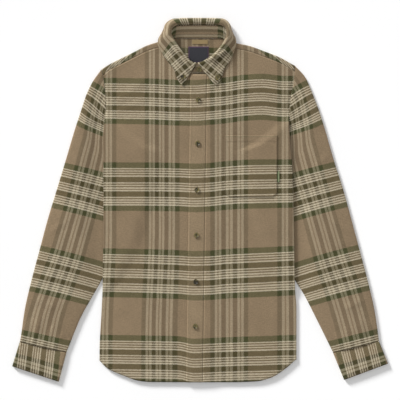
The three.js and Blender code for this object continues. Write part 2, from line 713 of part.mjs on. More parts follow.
// Rings run from the armhole down, so their order is turned to keep the faces out.
const leftSleeve = sleeveGrid(-1).reverse();
const rightSleeve = sleeveGrid(1).reverse();
add("sleeve_left", wall(leftSleeve, CLOTH, true), COLOURS.sleeves);
add("sleeve_right", wall(rightSleeve, CLOTH, true), COLOURS.sleeves);

// Cuffs: flat tubes of stiffer cloth below the sleeves' ends
const CUFF_ROWS = [0.03, 0.35, 0.7, 1]; // shares of a cuff's height, below its first row
const CUFF_STOPS = [0.2, 0.4, 0.6, 0.8]; // shares of its width, between its two folds
const CUFF_SWELL = 0.5;

// The stops across a cuff, with how far each has turned from its fold, for a fold of a radius
// given as a share of the cuff's width.
function cuffStops(radius) {
  const fold = [
    { share: 0, turn: 0 },
    { share: EIGHTH_IN * radius, turn: EIGHTH_UP },
    { share: radius, turn: 1 },
  ];
  const flat = CUFF_STOPS.map((share) => ({ share, turn: 1 }));
  const farFold = fold.map(({ share, turn }) => ({ share: 1 - share, turn })).reverse();
  return [...fold, ...flat, ...farFold];
}

function cuffGrid(side) {
  const table = side < 0 ? LEFT_SLEEVE : RIGHT_SLEEVE;
  const start = table[table.length - 1];
  const end = side < 0 ? LEFT_CUFF : RIGHT_CUFF;
  const middle = CUFF / 2 + CUFF_SPACE / 2;
  const gapShare = ARMHOLE_GAP / Math.hypot(end.outX - start.outX, end.outY - start.outY);
  const ring = (share) => {
    const outer = { x: mix(start.outX, end.outX, share), y: mix(start.outY, end.outY, share) };
    const inner = { x: mix(start.inX, end.inX, share), y: mix(start.inY, end.inY, share) };
    const stops = cuffStops(CUFF_SPACE / 2 / Math.hypot(inner.x - outer.x, inner.y - outer.y));
    const layer = (up, swell) =>
      stops.map((stop) => {
        const crown = swell * Math.sin(Math.PI * stop.share);
        const z = middle + stop.turn * (up * (CUFF_SPACE / 2) + crown);
        const x = mix(outer.x, inner.x, stop.share);
        return new THREE.Vector3(x, mix(outer.y, inner.y, stop.share), z);
      });
    const points = [...layer(1, CUFF_SWELL), ...layer(-1, 0).slice(1, -1).reverse()];
    return side < 0 ? points : points.reverse();
  };
  return [gapShare, ...CUFF_ROWS].map(ring).reverse();
}
add("cuff_left", wall(cuffGrid(-1), CUFF, true), COLOURS.sleeves);
add("cuff_right", wall(cuffGrid(1), CUFF, true), COLOURS.sleeves);

// Collar

// All ribs of the collar from the left front end round the back to the right front end.
function collarRows() {
  const columns = ["seam", "out", "edge", "base"];
  const half = (letter) =>
    COLLAR.map((row) => {
      const made = { crest: row.crest, outZ: row.outZ, edgeZ: row.edgeZ, baseZ: row.base };
      for (const name of columns) {
        made[name + "X"] = row[name + letter];
        made[name + "Y"] = row[name + "Y"];
      }
      return made;
    });
  const rows = [...half("L"), ...half("R").slice(0, -1).reverse()];
  rows.forEach((row, k) => {
    if (row.edgeZ === 0) {
      const front = row.edgeX < placketX(row.edgeY) ? leftFrontAt : rightFrontAt;
      const rest = CLOTH / 2 + SEAM_GAP + LEAF_REST + LEAF / 2;
      row.edgeZ = front(row.edgeX, row.edgeY) + rest;
    }
    row.place = k;
  });
  return rows;
}

const collar = collarRows();
const ribPlaces = Array.from(
  { length: (collar.length - 1) * COLLAR_STEPS + 1 },
  (_, k) => k / COLLAR_STEPS,
);
const rib = (place, column) => read(collar, "place", column, place);

function leafPoint(place, share) {
  const value = (column) => rib(place, column);
  const seam = new THREE.Vector3(value("seamX"), value("seamY"), value("crest") - SEAM_DROP);
  const out = new THREE.Vector3(value("outX"), value("outY"), value("outZ"));
  const edge = new THREE.Vector3(value("edgeX"), value("edgeY"), value("edgeZ"));
  const crest = seam.clone().lerp(out, CREST_SHARE).setZ(value("crest"));
  const turn = out.clone().lerp(edge, TURN_SHARE);
  turn.z = mix(out.z, edge.z, out.z < LOW_ROLL ? TURN_DROP.low : TURN_DROP.high);
  return new THREE.CatmullRomCurve3([seam, crest, out, turn, edge]).getPointAt(share);
}

function leafGrid() {
  return LEAF_SHARES.map((share) => ribPlaces.map((place) => leafPoint(place, share)));
}
add("collar_leaf", wall(leafGrid().reverse(), LEAF), COLOURS.trimCloth);

function standPoint(place, share) {
  const base = new THREE.Vector3(rib(place, "baseX"), rib(place, "baseY"), rib(place, "baseZ"));
  const top = leafPoint(place, 0);
  const reach = 1 - STAND_CLEAR / top.distanceTo(base);
  const point = base.lerp(top, share * reach);
  point.z -= UNDER_LAP * (1 - ease(UNDER_RIBS.from, UNDER_RIBS.to, place));
  return point;
}

function standGrid() {
  return STAND_SHARES.map((share) => ribPlaces.map((place) => standPoint(place, share)));
}
add("collar_stand", wall(standGrid().reverse(), LEAF), COLOURS.trimCloth);

// Neck label and the tape above it, on the inside of the yoke
const onYoke = () => MIDDLE;
add("neck_label", strip(LABEL, onYoke), COLOURS.label);
add("loop_tape", strip(TAPE, onYoke), COLOURS.tape);

// Buttons: turned discs with a raised rim and a dished middle
function buttonGeometry() {
  const { radius, thickness, rim, dish, chamfer, sides } = BUTTON;
  const profile = [
    new THREE.Vector2(0, 0),
    new THREE.Vector2(radius - chamfer, 0),
    new THREE.Vector2(radius, chamfer),
    new THREE.Vector2(radius, thickness - chamfer),
    new THREE.Vector2(radius - chamfer, thickness),
    new THREE.Vector2(radius - rim, thickness),
    new THREE.Vector2(radius - rim - chamfer, thickness - dish),
    new THREE.Vector2(0, thickness - dish),
  ];
  const geometry = new THREE.LatheGeometry(profile, sides);
  geometry.rotateX(Math.PI / 2);
  return geometry;
}

PLACKET_BUTTON_Y.forEach((y, k) => {
  const x = placketX(y);
  const button = add(`placket_button_${k + 1}`, buttonGeometry(), COLOURS.horn);
  button.position.set(x, y, leftFrontAt(x, y) + CLOTH / 2 + BAND + 2 * SEAM_GAP);
});

// A button square to a curved piece, on the outside of it at a place given by its ribs.
function addButtonOn(name, pointAt, place, share) {
  const step = 0.05;
  const middle = pointAt(place, share);
  const across = pointAt(place + step, share).sub(pointAt(place - step, share));
  const down = pointAt(place, share + step).sub(pointAt(place, share - step));
  const out = across.cross(down).normalize();
  if (out.z < 0) out.negate();
  const button = add(name, buttonGeometry(), COLOURS.horn);
  button.position.copy(middle.addScaledVector(out, LEAF / 2 + BUTTON_CLEAR));
  button.quaternion.setFromUnitVectors(new THREE.Vector3(0, 0, 1), out);
}

const lastRib = collar.length - 1;
const leftPoint = LEFT_POINT_BUTTON;
const rightPoint = RIGHT_POINT_BUTTON;
addButtonOn("stand_button", standPoint, lastRib - STAND_BUTTON.rib, STAND_BUTTON.up);
addButtonOn("point_button_left", leafPoint, leftPoint.rib, leftPoint.down);
addButtonOn("point_button_right", leafPoint, lastRib - rightPoint.rib, rightPoint.down);

export default shirt;
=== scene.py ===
"""Dresses a long-sleeved flannel shirt that lies flat on its back, seen from straight above.

Sizes and places are millimetres in the part's own frame: +X to the right, +Y towards the collar
and +Z up. They become metres when a mesh is made. Left and right are those of the viewer.
"""

import json
import logging
import math
from dataclasses import dataclass
from enum import Enum
from typing import Callable, Sequence

import bpy
import numpy as np
from mathutils import Matrix, Vector

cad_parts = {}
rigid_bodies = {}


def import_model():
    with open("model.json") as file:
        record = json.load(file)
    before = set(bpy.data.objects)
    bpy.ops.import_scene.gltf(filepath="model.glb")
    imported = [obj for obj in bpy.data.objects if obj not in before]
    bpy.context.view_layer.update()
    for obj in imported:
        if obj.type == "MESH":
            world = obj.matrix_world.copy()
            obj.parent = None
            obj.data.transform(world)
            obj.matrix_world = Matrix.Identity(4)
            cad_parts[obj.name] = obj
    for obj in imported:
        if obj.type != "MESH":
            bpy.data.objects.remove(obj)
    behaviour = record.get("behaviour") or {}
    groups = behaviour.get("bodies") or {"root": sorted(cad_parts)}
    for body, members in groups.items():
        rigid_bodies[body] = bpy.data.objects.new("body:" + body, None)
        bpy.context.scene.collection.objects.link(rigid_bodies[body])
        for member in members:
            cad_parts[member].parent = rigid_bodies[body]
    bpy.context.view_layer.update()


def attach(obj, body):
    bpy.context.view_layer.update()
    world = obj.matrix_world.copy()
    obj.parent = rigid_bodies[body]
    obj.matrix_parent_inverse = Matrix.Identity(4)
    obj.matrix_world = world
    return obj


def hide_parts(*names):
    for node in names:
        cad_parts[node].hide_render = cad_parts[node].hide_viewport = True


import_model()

log = logging.getLogger("flannel_shirt")
MM = 0.001
THREADS = "threads"  # the UV map that holds each piece's place in the cloth, in metres
Array = np.ndarray


# Numbers


def ease(start: float, stop: float, value: Array | float) -> Array:
    """Goes softly from 0 at start to 1 at stop.

    Args:
        start: The value up to which the result is 0.
        stop: The value from which the result is 1.
        value: One value or an array of them.

    Returns:
        The share for each value.
    """
    share = np.clip((np.asarray(value, float) - start) / (stop - start), 0, 1)
    return share * share * (3 - 2 * share)


def mix(start: Array | float, stop: Array | float, share: Array | float) -> Array:
    """Returns the value a share of the way from start to stop."""
    return start + (stop - start) * share


def bell(value: Array | float, width: float) -> Array:
    """Returns 1 at 0, falling softly to nothing a few widths away."""
    return np.exp(-((np.asarray(value, float) / width) ** 2))


class Profile:
    """A smooth curve through a short table. No stretch overshoots its two rows."""

    def __init__(self, *rows: Sequence[float]) -> None:
        """Keeps the table and works out the slope at each row.

        Args:
            rows: One row for each place: the place, then one or more values.
        """
        table = np.array(rows, float)
        self.places, self.values = table[:, 0], table[:, 1:]
        steps = np.diff(self.values, axis=0) / np.diff(self.places)[:, None]
        before, after = steps[:-1], steps[1:]
        total = np.where(before + after == 0, 1, before + after)
        inner = np.where(before * after > 0, 2 * before * after / total, 0)
        self.slopes = np.concatenate([steps[:1], inner, steps[-1:]])

    def __call__(self, at: Array | float) -> Array:
        """Reads the curve.

        Args:
            at: One place or an array of them.

        Returns:
            The value there, with a last axis for the columns if there are several.
        """
        at = np.clip(np.asarray(at, float), self.places[0], self.places[-1])
        row = np.clip(np.searchsorted(self.places, at, side="right") - 1, 0, len(self.places) - 2)
        span = (self.places[row + 1] - self.places[row])[..., None]
        part = (at - self.places[row])[..., None] / span
        rise = part * part * (3 - 2 * part)
        lean = (1 - part) * self.slopes[row] - part * self.slopes[row + 1]
        read = mix(self.values[row], self.values[row + 1], rise) + span * part * (1 - part) * lean
        return read[..., 0] if read.shape[-1] == 1 else read


@dataclass(frozen=True)
class Fold:
    """A soft ridge in the cloth, or a trough where its height is negative."""

    x: float
    y: float
    turn: float  # direction in degrees from +X
    length: float  # from its middle to each end
    width: float  # from its middle to each side
    height: float


def folds_height(folds: Sequence[Fold], x: Array, y: Array, side: int = 1) -> Array:
    """Adds up the heights of folds at some places.

    Args:
        folds: The ridges and troughs, as they lie on the right side of the shirt.
        x: Places across the shirt.
        y: Places along the shirt.
        side: 1 for folds as given, -1 to mirror them to the left.

    Returns:
        The height at each place.
    """
    height = np.zeros(np.broadcast(x, y).shape)
    for fold in folds:
        turn = math.radians(fold.turn) * side
        dx, dy = x - fold.x * side, y - fold.y
        along = dx * math.cos(turn) + dy * math.sin(turn)
        across = dy * math.cos(turn) - dx * math.sin(turn)
        end = 1 - ease(0.4 * fold.length, fold.length, np.abs(along))
        height += fold.height * end * bell(across, fold.width)
    return height


# How the shirt lies


@dataclass(frozen=True)
class Layout:
    """The outline of the shirt laid flat, and the heights of its layers."""

    cloth: float = 1.5
    gap: float = 0.3  # between pieces at a seam
    armhole_gap: float = 0.4
    flat_space: float = 4.0  # between the middles of two layers
    pressed_space: float = 2.1
    sleeve_lift: float = 4.3
    body_crown: float = 2.6
    yoke_strip: float = 11.5
    yoke_back: float = 262.0
    placket_width: float = 36.7
    placket_foot: tuple[float, float] = (-12.5, -409.4)  # x and y of the ends of its middle line
    placket_head: tuple[float, float] = (-3.3, 281.0)
    placket_rise: float = 2.0
    rise_width: float = 45.0
    underlap: float = 14.0
    hem_level: float = -400.0
    left_edge: Profile = Profile(
        (-420, -224), (-342, -225), (-247, -220.5), (-193, -218), (2, -216), (74, -216),
        (140, -217.5), (165, -214.9), (191, -212.6), (214, -211), (236, -212.6), (261, -214.9),
        (281, -218), (292.5, -221.6),
    )
    right_edge: Profile = Profile(
        (-420, 216), (-342, 216), (-247, 216), (-193, 212.6), (2, 209), (74, 206.6),
        (140, 201.5), (165, 199.8), (191, 199.8), (214, 202), (236, 204.8), (261, 209.8),
        (290, 212), (301.5, 212.5),
    )
    hem: Profile = Profile(
        (-225, -361), (-206.6, -379), (-171.7, -394.7), (-140, -405.7), (-112, -409),
        (0, -409.4), (67.5, -409.4), (125, -407.6), (160, -399), (194, -377.3), (216, -358),
    )
    shoulder: Profile = Profile(
        (-221.6, 292.5), (-200, 306), (-173, 319.5), (-146, 333), (-119, 346.5), (-92, 355),
        (-80, 358), (-64, 362.7), (54, 362.7), (70, 356), (80, 352), (108, 346.5), (146, 333),
        (178, 320.5), (207, 304.5), (212.5, 301.5),
    )
    front_neck: Profile = Profile(
        (-80, 346), (-62, 320), (-44, 300), (-21, 286), (14, 281), (35, 292), (55, 316), (70, 342)
    )
    sleeve_reach: Profile = Profile(
        (-235, 290), (-200, 238), (-165, 210), (-110, 182), (-60, 164), (-10, 149), (35, 139),
        (78, 131), (108, 129), (125, 160), (145, 188), (165, 212), (205, 262),
    )
    large_folds: tuple[Fold, ...] = (
        Fold(-120, 150, 62, 90, 26, 1.2),
        Fold(120, 225, 118, 80, 24, 1.1),
        Fold(-70, -120, 84, 150, 34, 1.0),
        Fold(110, -190, 97, 140, 34, 1.1),
    )
    creases: tuple[Fold, ...] = (
        Fold(-150, 250, 40, 70, 9, 0.9),
        Fold(-165, 205, 28, 55, 8, 0.8),
        Fold(-60, 215, 78, 60, 10, -0.7),
        Fold(-95, 60, 95, 80, 10, 0.7),
        Fold(-150, -40, 100, 90, 9, 0.7),
        Fold(-185, -160, 96, 110, 8, 0.9),
        Fold(-55, -250, 82, 100, 9, 0.6),
        Fold(-130, -330, 74, 60, 9, 0.7),
        Fold(60, 215, 106, 70, 9, 0.8),
        Fold(150, 250, 140, 60, 9, 0.9),
        Fold(165, 190, 152, 50, 8, 0.8),
        Fold(185, 20, 84, 120, 8, 0.8),
        Fold(90, -60, 100, 80, 10, 0.7),
        Fold(40, -150, 92, 90, 9, -0.6),
        Fold(170, -230, 86, 110, 9, 0.8),
        Fold(80, -330, 98, 70, 9, 0.7),
    )

    @property
    def middle(self) -> float:
        """Height of the middle of a layer that lies on the surface."""
        return self.cloth / 2

    def edge(self, side: int, y: Array) -> Array:
        """Returns x of the side edge or armhole seam at some heights."""
        return self.left_edge(y) if side < 0 else self.right_edge(y)

    def lift(self, x: Array, y: Array) -> Array:
        """Returns how much a sleeve underneath raises the body."""
        margin, ramp = 16, 34
        full = self.sleeve_reach(y) - margin
        share = np.clip((np.abs(x) - full + ramp) / ramp, 0, 1)
        return self.sleeve_lift * share * share * (3 - 2 * share)

    def back(self, x: Array, y: Array) -> Array:
        """Returns the height of the middle of the back layer."""
        return self.middle + self.lift(x, y)

    def closed(self, y: Array) -> Array:
        """Returns 0 where the side is an open armhole seam and 1 where it is a fold."""
        return 1 - ease(165, 208, y)

    def placket_x(self, y: Array) -> Array:
        """Returns x of the placket's middle line."""
        (low_x, low_y), (high_x, high_y) = self.placket_foot, self.placket_head
        return mix(low_x, high_x, (np.asarray(y, float) - low_y) / (high_y - low_y))

    def space(self, x: Array, y: Array) -> Array:
        """Returns the height of the front above the back, with its crown and creases."""
        inset = np.minimum(x - self.left_edge(y), self.right_edge(y) - x)
        top = self.shoulder(x) - self.yoke_strip - y
        crown = ease(0, 90, inset) * ease(0, 80, top) * ease(-430, -330, y)
        fine = ease(2, 22, inset) * ease(-4, 14, top)
        large = self.body_crown + folds_height(self.large_folds, x, y)
        return self.flat_space + crown * large + fine * folds_height(self.creases, x, y)

    def front(self, side: int, x: Array, y: Array) -> Array:
        """Returns the height of the middle of the left (-1) or right (1) front."""
        height = self.back(x, y) + self.space(x, y)
        if side > 0:
            beyond = x - self.placket_x(y) - self.placket_width / 2
            height = height + self.placket_rise * (1 - ease(0, self.rise_width, beyond))
        return height


# The plaid's place on each piece


@dataclass(frozen=True)
class Sett:
    """The order of the stripes in the cloth, and where they fall on the body."""

    warp_repeat: float = 149.6
    weft_repeat: float = 193.9
    weft_tan: float = 88.2  # plain stretch between two groups of bars
    bar: float = 12.4  # one olive bar across the body
    band: float = 18.7  # one cream band between two bars
    warp_bar: float = 9.7
    warp_band: float = 14.8
    warp_start: float = -127.6  # x where the warp group left of the placket begins
    # Heights of the first and last bar of each group on the left front, and their ideal places
    bars: Profile = Profile(
        (-407.3, -675.5), (-310.5, -581.9), (-213.8, -481.5), (-116.3, -387.9), (-18.5, -287.6),
        (78.3, -194.0), (177.1, -93.6), (268.4, 0), (400, 133),
    )
    # How far the bands sag below those heights: x, then near the hem, waist, pocket and chest
    sag: Profile = Profile(
        (-205, -1.1, -1.8, 0, 0), (-110, 0, 0.5, 0, 1.8), (-50, 1.1, 2.7, 0.7, 4.5),
        (-12, 7.4, 4.7, 2.3, 5), (20, 5.9, 4.1, 0.9, 2.7), (60, 4.5, 0.7, -3.2, -1.1),
        (100, 3.2, -1.4, -5.4, -6.8), (140, 2.3, -3.2, -6.1, -9), (190, 0.9, -5.9, -7.2, -4.5),
        (216, 0.5, -7.2, -7.7, -4.5),
    )
    sag_heights: tuple[float, ...] = (-360, -164, 29, 223)
    # How far the stripes lean to the left near the hem, by x
    lean: Profile = Profile((-215, -9), (-70, -6.5), (-22, -1.1), (0, 0), (170, 0), (200, 2.2))
    # Where each dark warp bar's middle falls, and where an even repeat would put it
    spread: Profile = Profile(
        (-240, -246.5), (-192.6, -198.7), (-119.3, -122.6), (-96.8, -98.1), (-75.4, -73.6),
        (-51.1, -49.1), (28.1, 27), (52.9, 51.5), (78.8, 76.1), (103.1, 100.6), (178.4, 176.6),
        (240, 238),
    )

    def body(self, x: Array, y: Array) -> Array:
        """Places in the cloth for places on the fronts, placket, pocket and back.

        Args:
            x: Places across the shirt.
            y: Places along the shirt.

        Returns:
            Across the warp and along it, on a last axis of two.
        """
        x, y = np.broadcast_arrays(np.asarray(x, float), np.asarray(y, float))
        sags = self.sag(x)
        height = np.clip(y, self.sag_heights[0], self.sag_heights[-1])
        sag = np.zeros(x.shape)
        for k in range(3):
            low, high = self.sag_heights[k], self.sag_heights[k + 1]
            share = ease(low, high, height)
            inside = (height >= low) & ((height < high) | (k == 2))
            sag = np.where(inside, mix(sags[..., k], sags[..., k + 1], share), sag)
        leaning = self.lean(x) * (1 - ease(-304, -63, y))
        across = self.spread(x - leaning) - self.warp_start
        down = self.bar / 2 - self.bars(y + sag)
        return np.stack([across, down], -1)

    def warp_middle(self) -> float:
        """Returns the place of the middle cream stripe of a warp group."""
        return 2 * self.warp_bar + 1.5 * self.warp_band


# Meshes


def climbed(grid: Array) -> Array:
    """Returns how far each point of a line, or of a grid's columns, lies from the first one."""
    steps = np.linalg.norm(np.diff(grid, axis=0), axis=-1)
    return np.concatenate([np.zeros_like(steps[:1]), np.cumsum(steps, 0)])


def walled(grid: Array, thickness: Array | float, around: bool) -> tuple[Array, Array]:
    """Moves a grid of middle points to the two faces of a cloth.

    Args:
        grid: Points on rows and columns, in millimetres.
        thickness: The cloth's thickness, one for all or one for each point.
        around: True where the last column meets the first.

    Returns:
        The points on the outer face and those on the inner face.
    """
    if around:
        across = np.roll(grid, -1, 1) - np.roll(grid, 1, 1)
    else:
        across = np.gradient(grid, axis=1)
    along = np.gradient(grid, axis=0)
    normal = np.cross(across, along)
    normal /= np.maximum(np.linalg.norm(normal, axis=-1, keepdims=True), 1e-9)
    half = np.broadcast_to(np.asarray(thickness, float), grid.shape[:2])[..., None] / 2
    return grid + normal * half, grid - normal * half


def quads(index: Array) -> Array:
    """Returns the four-sided faces between the rows and columns of point numbers."""
    corners = [index[:-1, :-1], index[:-1, 1:], index[1:, 1:], index[1:, :-1]]
    return np.stack(corners, -1).reshape(-1, 4)


def rim(first: Array, second: Array) -> Array:
    """Returns the faces between two lines of point numbers."""
    return np.stack([first[:-1], first[1:], second[1:], second[:-1]], -1)


def placed(name: str, data: bpy.types.ID) -> bpy.types.Object:
    """Returns a new object that holds the data, at the origin and linked to the scene."""
    made = bpy.data.objects.new(name, data)
    bpy.context.scene.collection.objects.link(made)
    return made


def make_mesh(
    name: str, points: Array, faces: Array, threads: Array | None = None
) -> bpy.types.Object:
    """Makes a smooth-shaded object at the origin.

    Args:
        name: The object's name.
        points: Its points in millimetres.
        faces: Point numbers of each face.
        threads: The place in the cloth at each face's corners, in millimetres.

    Returns:
        The object, linked to the scene.
    """
    mesh = bpy.data.meshes.new(name)
    mesh.from_pydata((np.asarray(points) * MM).tolist(), [], np.asarray(faces).tolist())
    if threads is not None:
        layer = mesh.uv_layers.new(name=THREADS)
        layer.data.foreach_set("uv", (threads * MM).astype(np.float32).ravel())
    mesh.polygons.foreach_set("use_smooth", [True] * len(mesh.polygons))
    mesh.update()
    return placed(name, mesh)


def make_shell(
    name: str, grid: Array, thickness: Array | float, threads: Array, around: bool = False
) -> bpy.types.Object:
    """Makes a closed thin shell on both sides of a grid of middle points.

    Args:
        name: The object's name.
        grid: Middle points on rows and columns.
        thickness: The cloth's thickness.
        threads: Place in the cloth at each point, with one more column where around is true.
        around: True where the last column meets the first.

    Returns:
        The object, linked to the scene.
    """
    outer, inner = walled(grid, thickness, around)
    rows, columns = grid.shape[:2]
    number = np.arange(rows * columns).reshape(rows, columns)
    if around:
        number = np.concatenate([number, number[:, :1]], 1)
    under = number + rows * columns
    place = np.arange(rows * number.shape[1]).reshape(rows, -1)
    turned = [1, 0, 3, 2]  # the order of a face's corners that turns it over
    parts = [(quads(number), quads(place)), (quads(under)[:, ::-1], quads(place)[:, ::-1])]
    parts.append((rim(number[0], under[0])[:, turned], rim(place[0], place[0])[:, turned]))
    parts.append((rim(number[-1], under[-1]), rim(place[-1], place[-1])))
    if not around:
        parts.append((rim(number[:, 0], under[:, 0]), rim(place[:, 0], place[:, 0])))
        parts.append((
            rim(number[:, -1], under[:, -1])[:, turned], rim(place[:, -1], place[:, -1])[:, turned]
        ))
    faces = np.concatenate([part[0] for part in parts])
    corners = np.concatenate([part[1] for part in parts])
    points = np.concatenate([outer.reshape(-1, 3), inner.reshape(-1, 3)])
    return make_mesh(name, points, faces, threads.reshape(-1, 2)[corners])


def dress(piece: bpy.types.Object, finish: bpy.types.Material, slot: str, *nodes: str) -> None:
    """Gives a piece its material and body, and hides the solids that it stands for.

    Args:
        piece: The finished mesh.
        finish: Its material.
        slot: The record's material slot. It is not used.
        nodes: Names of the solids that it replaces.
    """
    piece.data.materials.clear()
    piece.data.materials.append(finish)
    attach(piece, "root")
    if nodes:
        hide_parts(*nodes)


# Finishes


def colour(red: int, green: int, blue: int) -> tuple[float, float, float, float]:
    """Returns a shader colour from three screen values, 0 to 255."""
    def linear(value: int) -> float:
        """Returns one screen value as light."""
        part = value / 255
        return part / 12.92 if part <= 0.04045 else ((part + 0.055) / 1.055) ** 2.4
    return (linear(red), linear(green), linear(blue), 1.0)


class Shading:
    """A small helper that adds nodes to a material and joins them."""

    def __init__(self, name: str) -> None:
        """Makes a material with only a Principled shader and its output."""
        self.material = bpy.data.materials.new(name)
        self.material.use_nodes = True
        self.tree = self.material.node_tree
        self.tree.nodes.clear()
        self.shader = self.tree.nodes.new("ShaderNodeBsdfPrincipled")
        output = self.tree.nodes.new("ShaderNodeOutputMaterial")
        self.join(self.shader.outputs["BSDF"], output.inputs["Surface"])

    def join(self, source: bpy.types.NodeSocket, target: bpy.types.NodeSocket) -> None:
        """Links two sockets."""
        self.tree.links.new(source, target)

    def put(self, value: object, target: bpy.types.NodeSocket) -> None:
        """Links a socket to a target, or sets the target to a plain value."""
        if isinstance(value, bpy.types.NodeSocket):
            self.join(value, target)
        else:
            target.default_value = value

    def maths(self, operation: str, first: object, second: object = 0.0) -> bpy.types.NodeSocket:
        """Adds a Math node and returns its result."""
        node = self.tree.nodes.new("ShaderNodeMath")
        node.operation = operation
        self.put(first, node.inputs[0])
        self.put(second, node.inputs[1])
        return node.outputs[0]

    def noise(self, vector: object, scale: float, detail: float = 2.0) -> bpy.types.Node:
        """Adds a Noise Texture node on a vector."""
        node = self.tree.nodes.new("ShaderNodeTexNoise")
        node.inputs["Scale"].default_value = scale
        node.inputs["Detail"].default_value = detail
        self.put(vector, node.inputs["Vector"])
        return node

    def blend(
        self, share: object, first: object, second: object, kind: str = "MIX"
    ) -> bpy.types.NodeSocket:
        """Adds a colour Mix node. Inputs 6 and 7 are its two colours, and output 2 is the result.

        Args:
            share: How much of the second colour, 0 to 1.
            first: The first colour.
            second: The second colour.
            kind: The node's blend type.

        Returns:
            The mixed colour.
        """
        node = self.tree.nodes.new("ShaderNodeMix")
        node.data_type = "RGBA"
        node.blend_type = kind
        self.put(share, node.inputs["Factor"])
        self.put(first, node.inputs[6])
        self.put(second, node.inputs[7])
        return node.outputs[2]

    def dim(self, base: object, level: object) -> bpy.types.NodeSocket:
        """Multiplies a colour by one level and returns the result."""
        grey = self.tree.nodes.new("ShaderNodeCombineColor")
        for name in ("Red", "Green", "Blue"):
            self.put(level, grey.inputs[name])
        return self.blend(1.0, base, grey.outputs[0], "MULTIPLY")

    def streaks(
        self, across: object, along: object, first: float, second: float
    ) -> bpy.types.NodeSocket:
        """Adds noise drawn out into streaks.

        Args:
            across: The first coordinate, in metres.
            along: The second coordinate, in metres.
            first: How fine the noise is along the first.
            second: How fine it is along the second.

        Returns:
            The noise, mostly from 0.3 to 0.7.
        """
        place = self.tree.nodes.new("ShaderNodeCombineXYZ")
        self.join(self.maths("MULTIPLY", across, first), place.inputs["X"])
        self.join(self.maths("MULTIPLY", along, second), place.inputs["Y"])
        return self.noise(place.outputs["Vector"], 1.0, 2).outputs["Fac"]

    def range(
        self, value: object, low: float, high: float, new_low: float, new_high: float
    ) -> bpy.types.NodeSocket:
        """Adds a Map Range node.

        Args:
            value: What is mapped.
            low: The value that becomes new_low.
            high: The value that becomes new_high.
            new_low: The lowest result.
            new_high: The highest result.

        Returns:
            The mapped value.
        """
        node = self.tree.nodes.new("ShaderNodeMapRange")
        self.put(value, node.inputs["Value"])
        limits = {"From Min": low, "From Max": high, "To Min": new_low, "To Max": new_high}
        for name, number in limits.items():
            node.inputs[name].default_value = number
        return node.outputs[0]

    def stripes(self, place: object, stops: Sequence[tuple[float, tuple]]) -> bpy.types.NodeSocket:
        """Adds a Color Ramp with a hard edge at each stop.

        Args:
            place: Where along the repeat, 0 to 1.
            stops: The start and the colour of each stripe.

        Returns:
            The colour at that place.
        """
        node = self.tree.nodes.new("ShaderNodeValToRGB")
        ramp = node.color_ramp
        ramp.interpolation = "CONSTANT"
        while len(ramp.elements) < len(stops):
            ramp.elements.new(1.0)
        for element, (start, shade) in zip(ramp.elements, stops):
            element.position = start
            element.color = shade
        self.put(place, node.inputs["Fac"])
        return node.outputs["Color"]

    def threads(self) -> tuple[bpy.types.NodeSocket, bpy.types.NodeSocket, bpy.types.NodeSocket]:
        """Adds the piece's own UV map and returns it with its two parts, in metres."""
        place = self.tree.nodes.new("ShaderNodeUVMap")
        place.uv_map = THREADS
        parts = self.tree.nodes.new("ShaderNodeSeparateXYZ")
        self.join(place.outputs["UV"], parts.inputs["Vector"])
        return place.outputs["UV"], parts.outputs["X"], parts.outputs["Y"]

    def bump(self, height: object, strength: float, distance: float) -> None:
        """Adds a Bump node to the shader's normal."""
        node = self.tree.nodes.new("ShaderNodeBump")
        node.inputs["Strength"].default_value = strength
        node.inputs["Distance"].default_value = distance
        self.put(height, node.inputs["Height"])
        self.join(node.outputs["Normal"], self.shader.inputs["Normal"])

    def settings(self, **values: float) -> None:
        """Sets plain numbers on the shader's own sockets, named with _ for a space."""
        for name, value in values.items():
            self.shader.inputs[name.replace("_", " ")].default_value = value


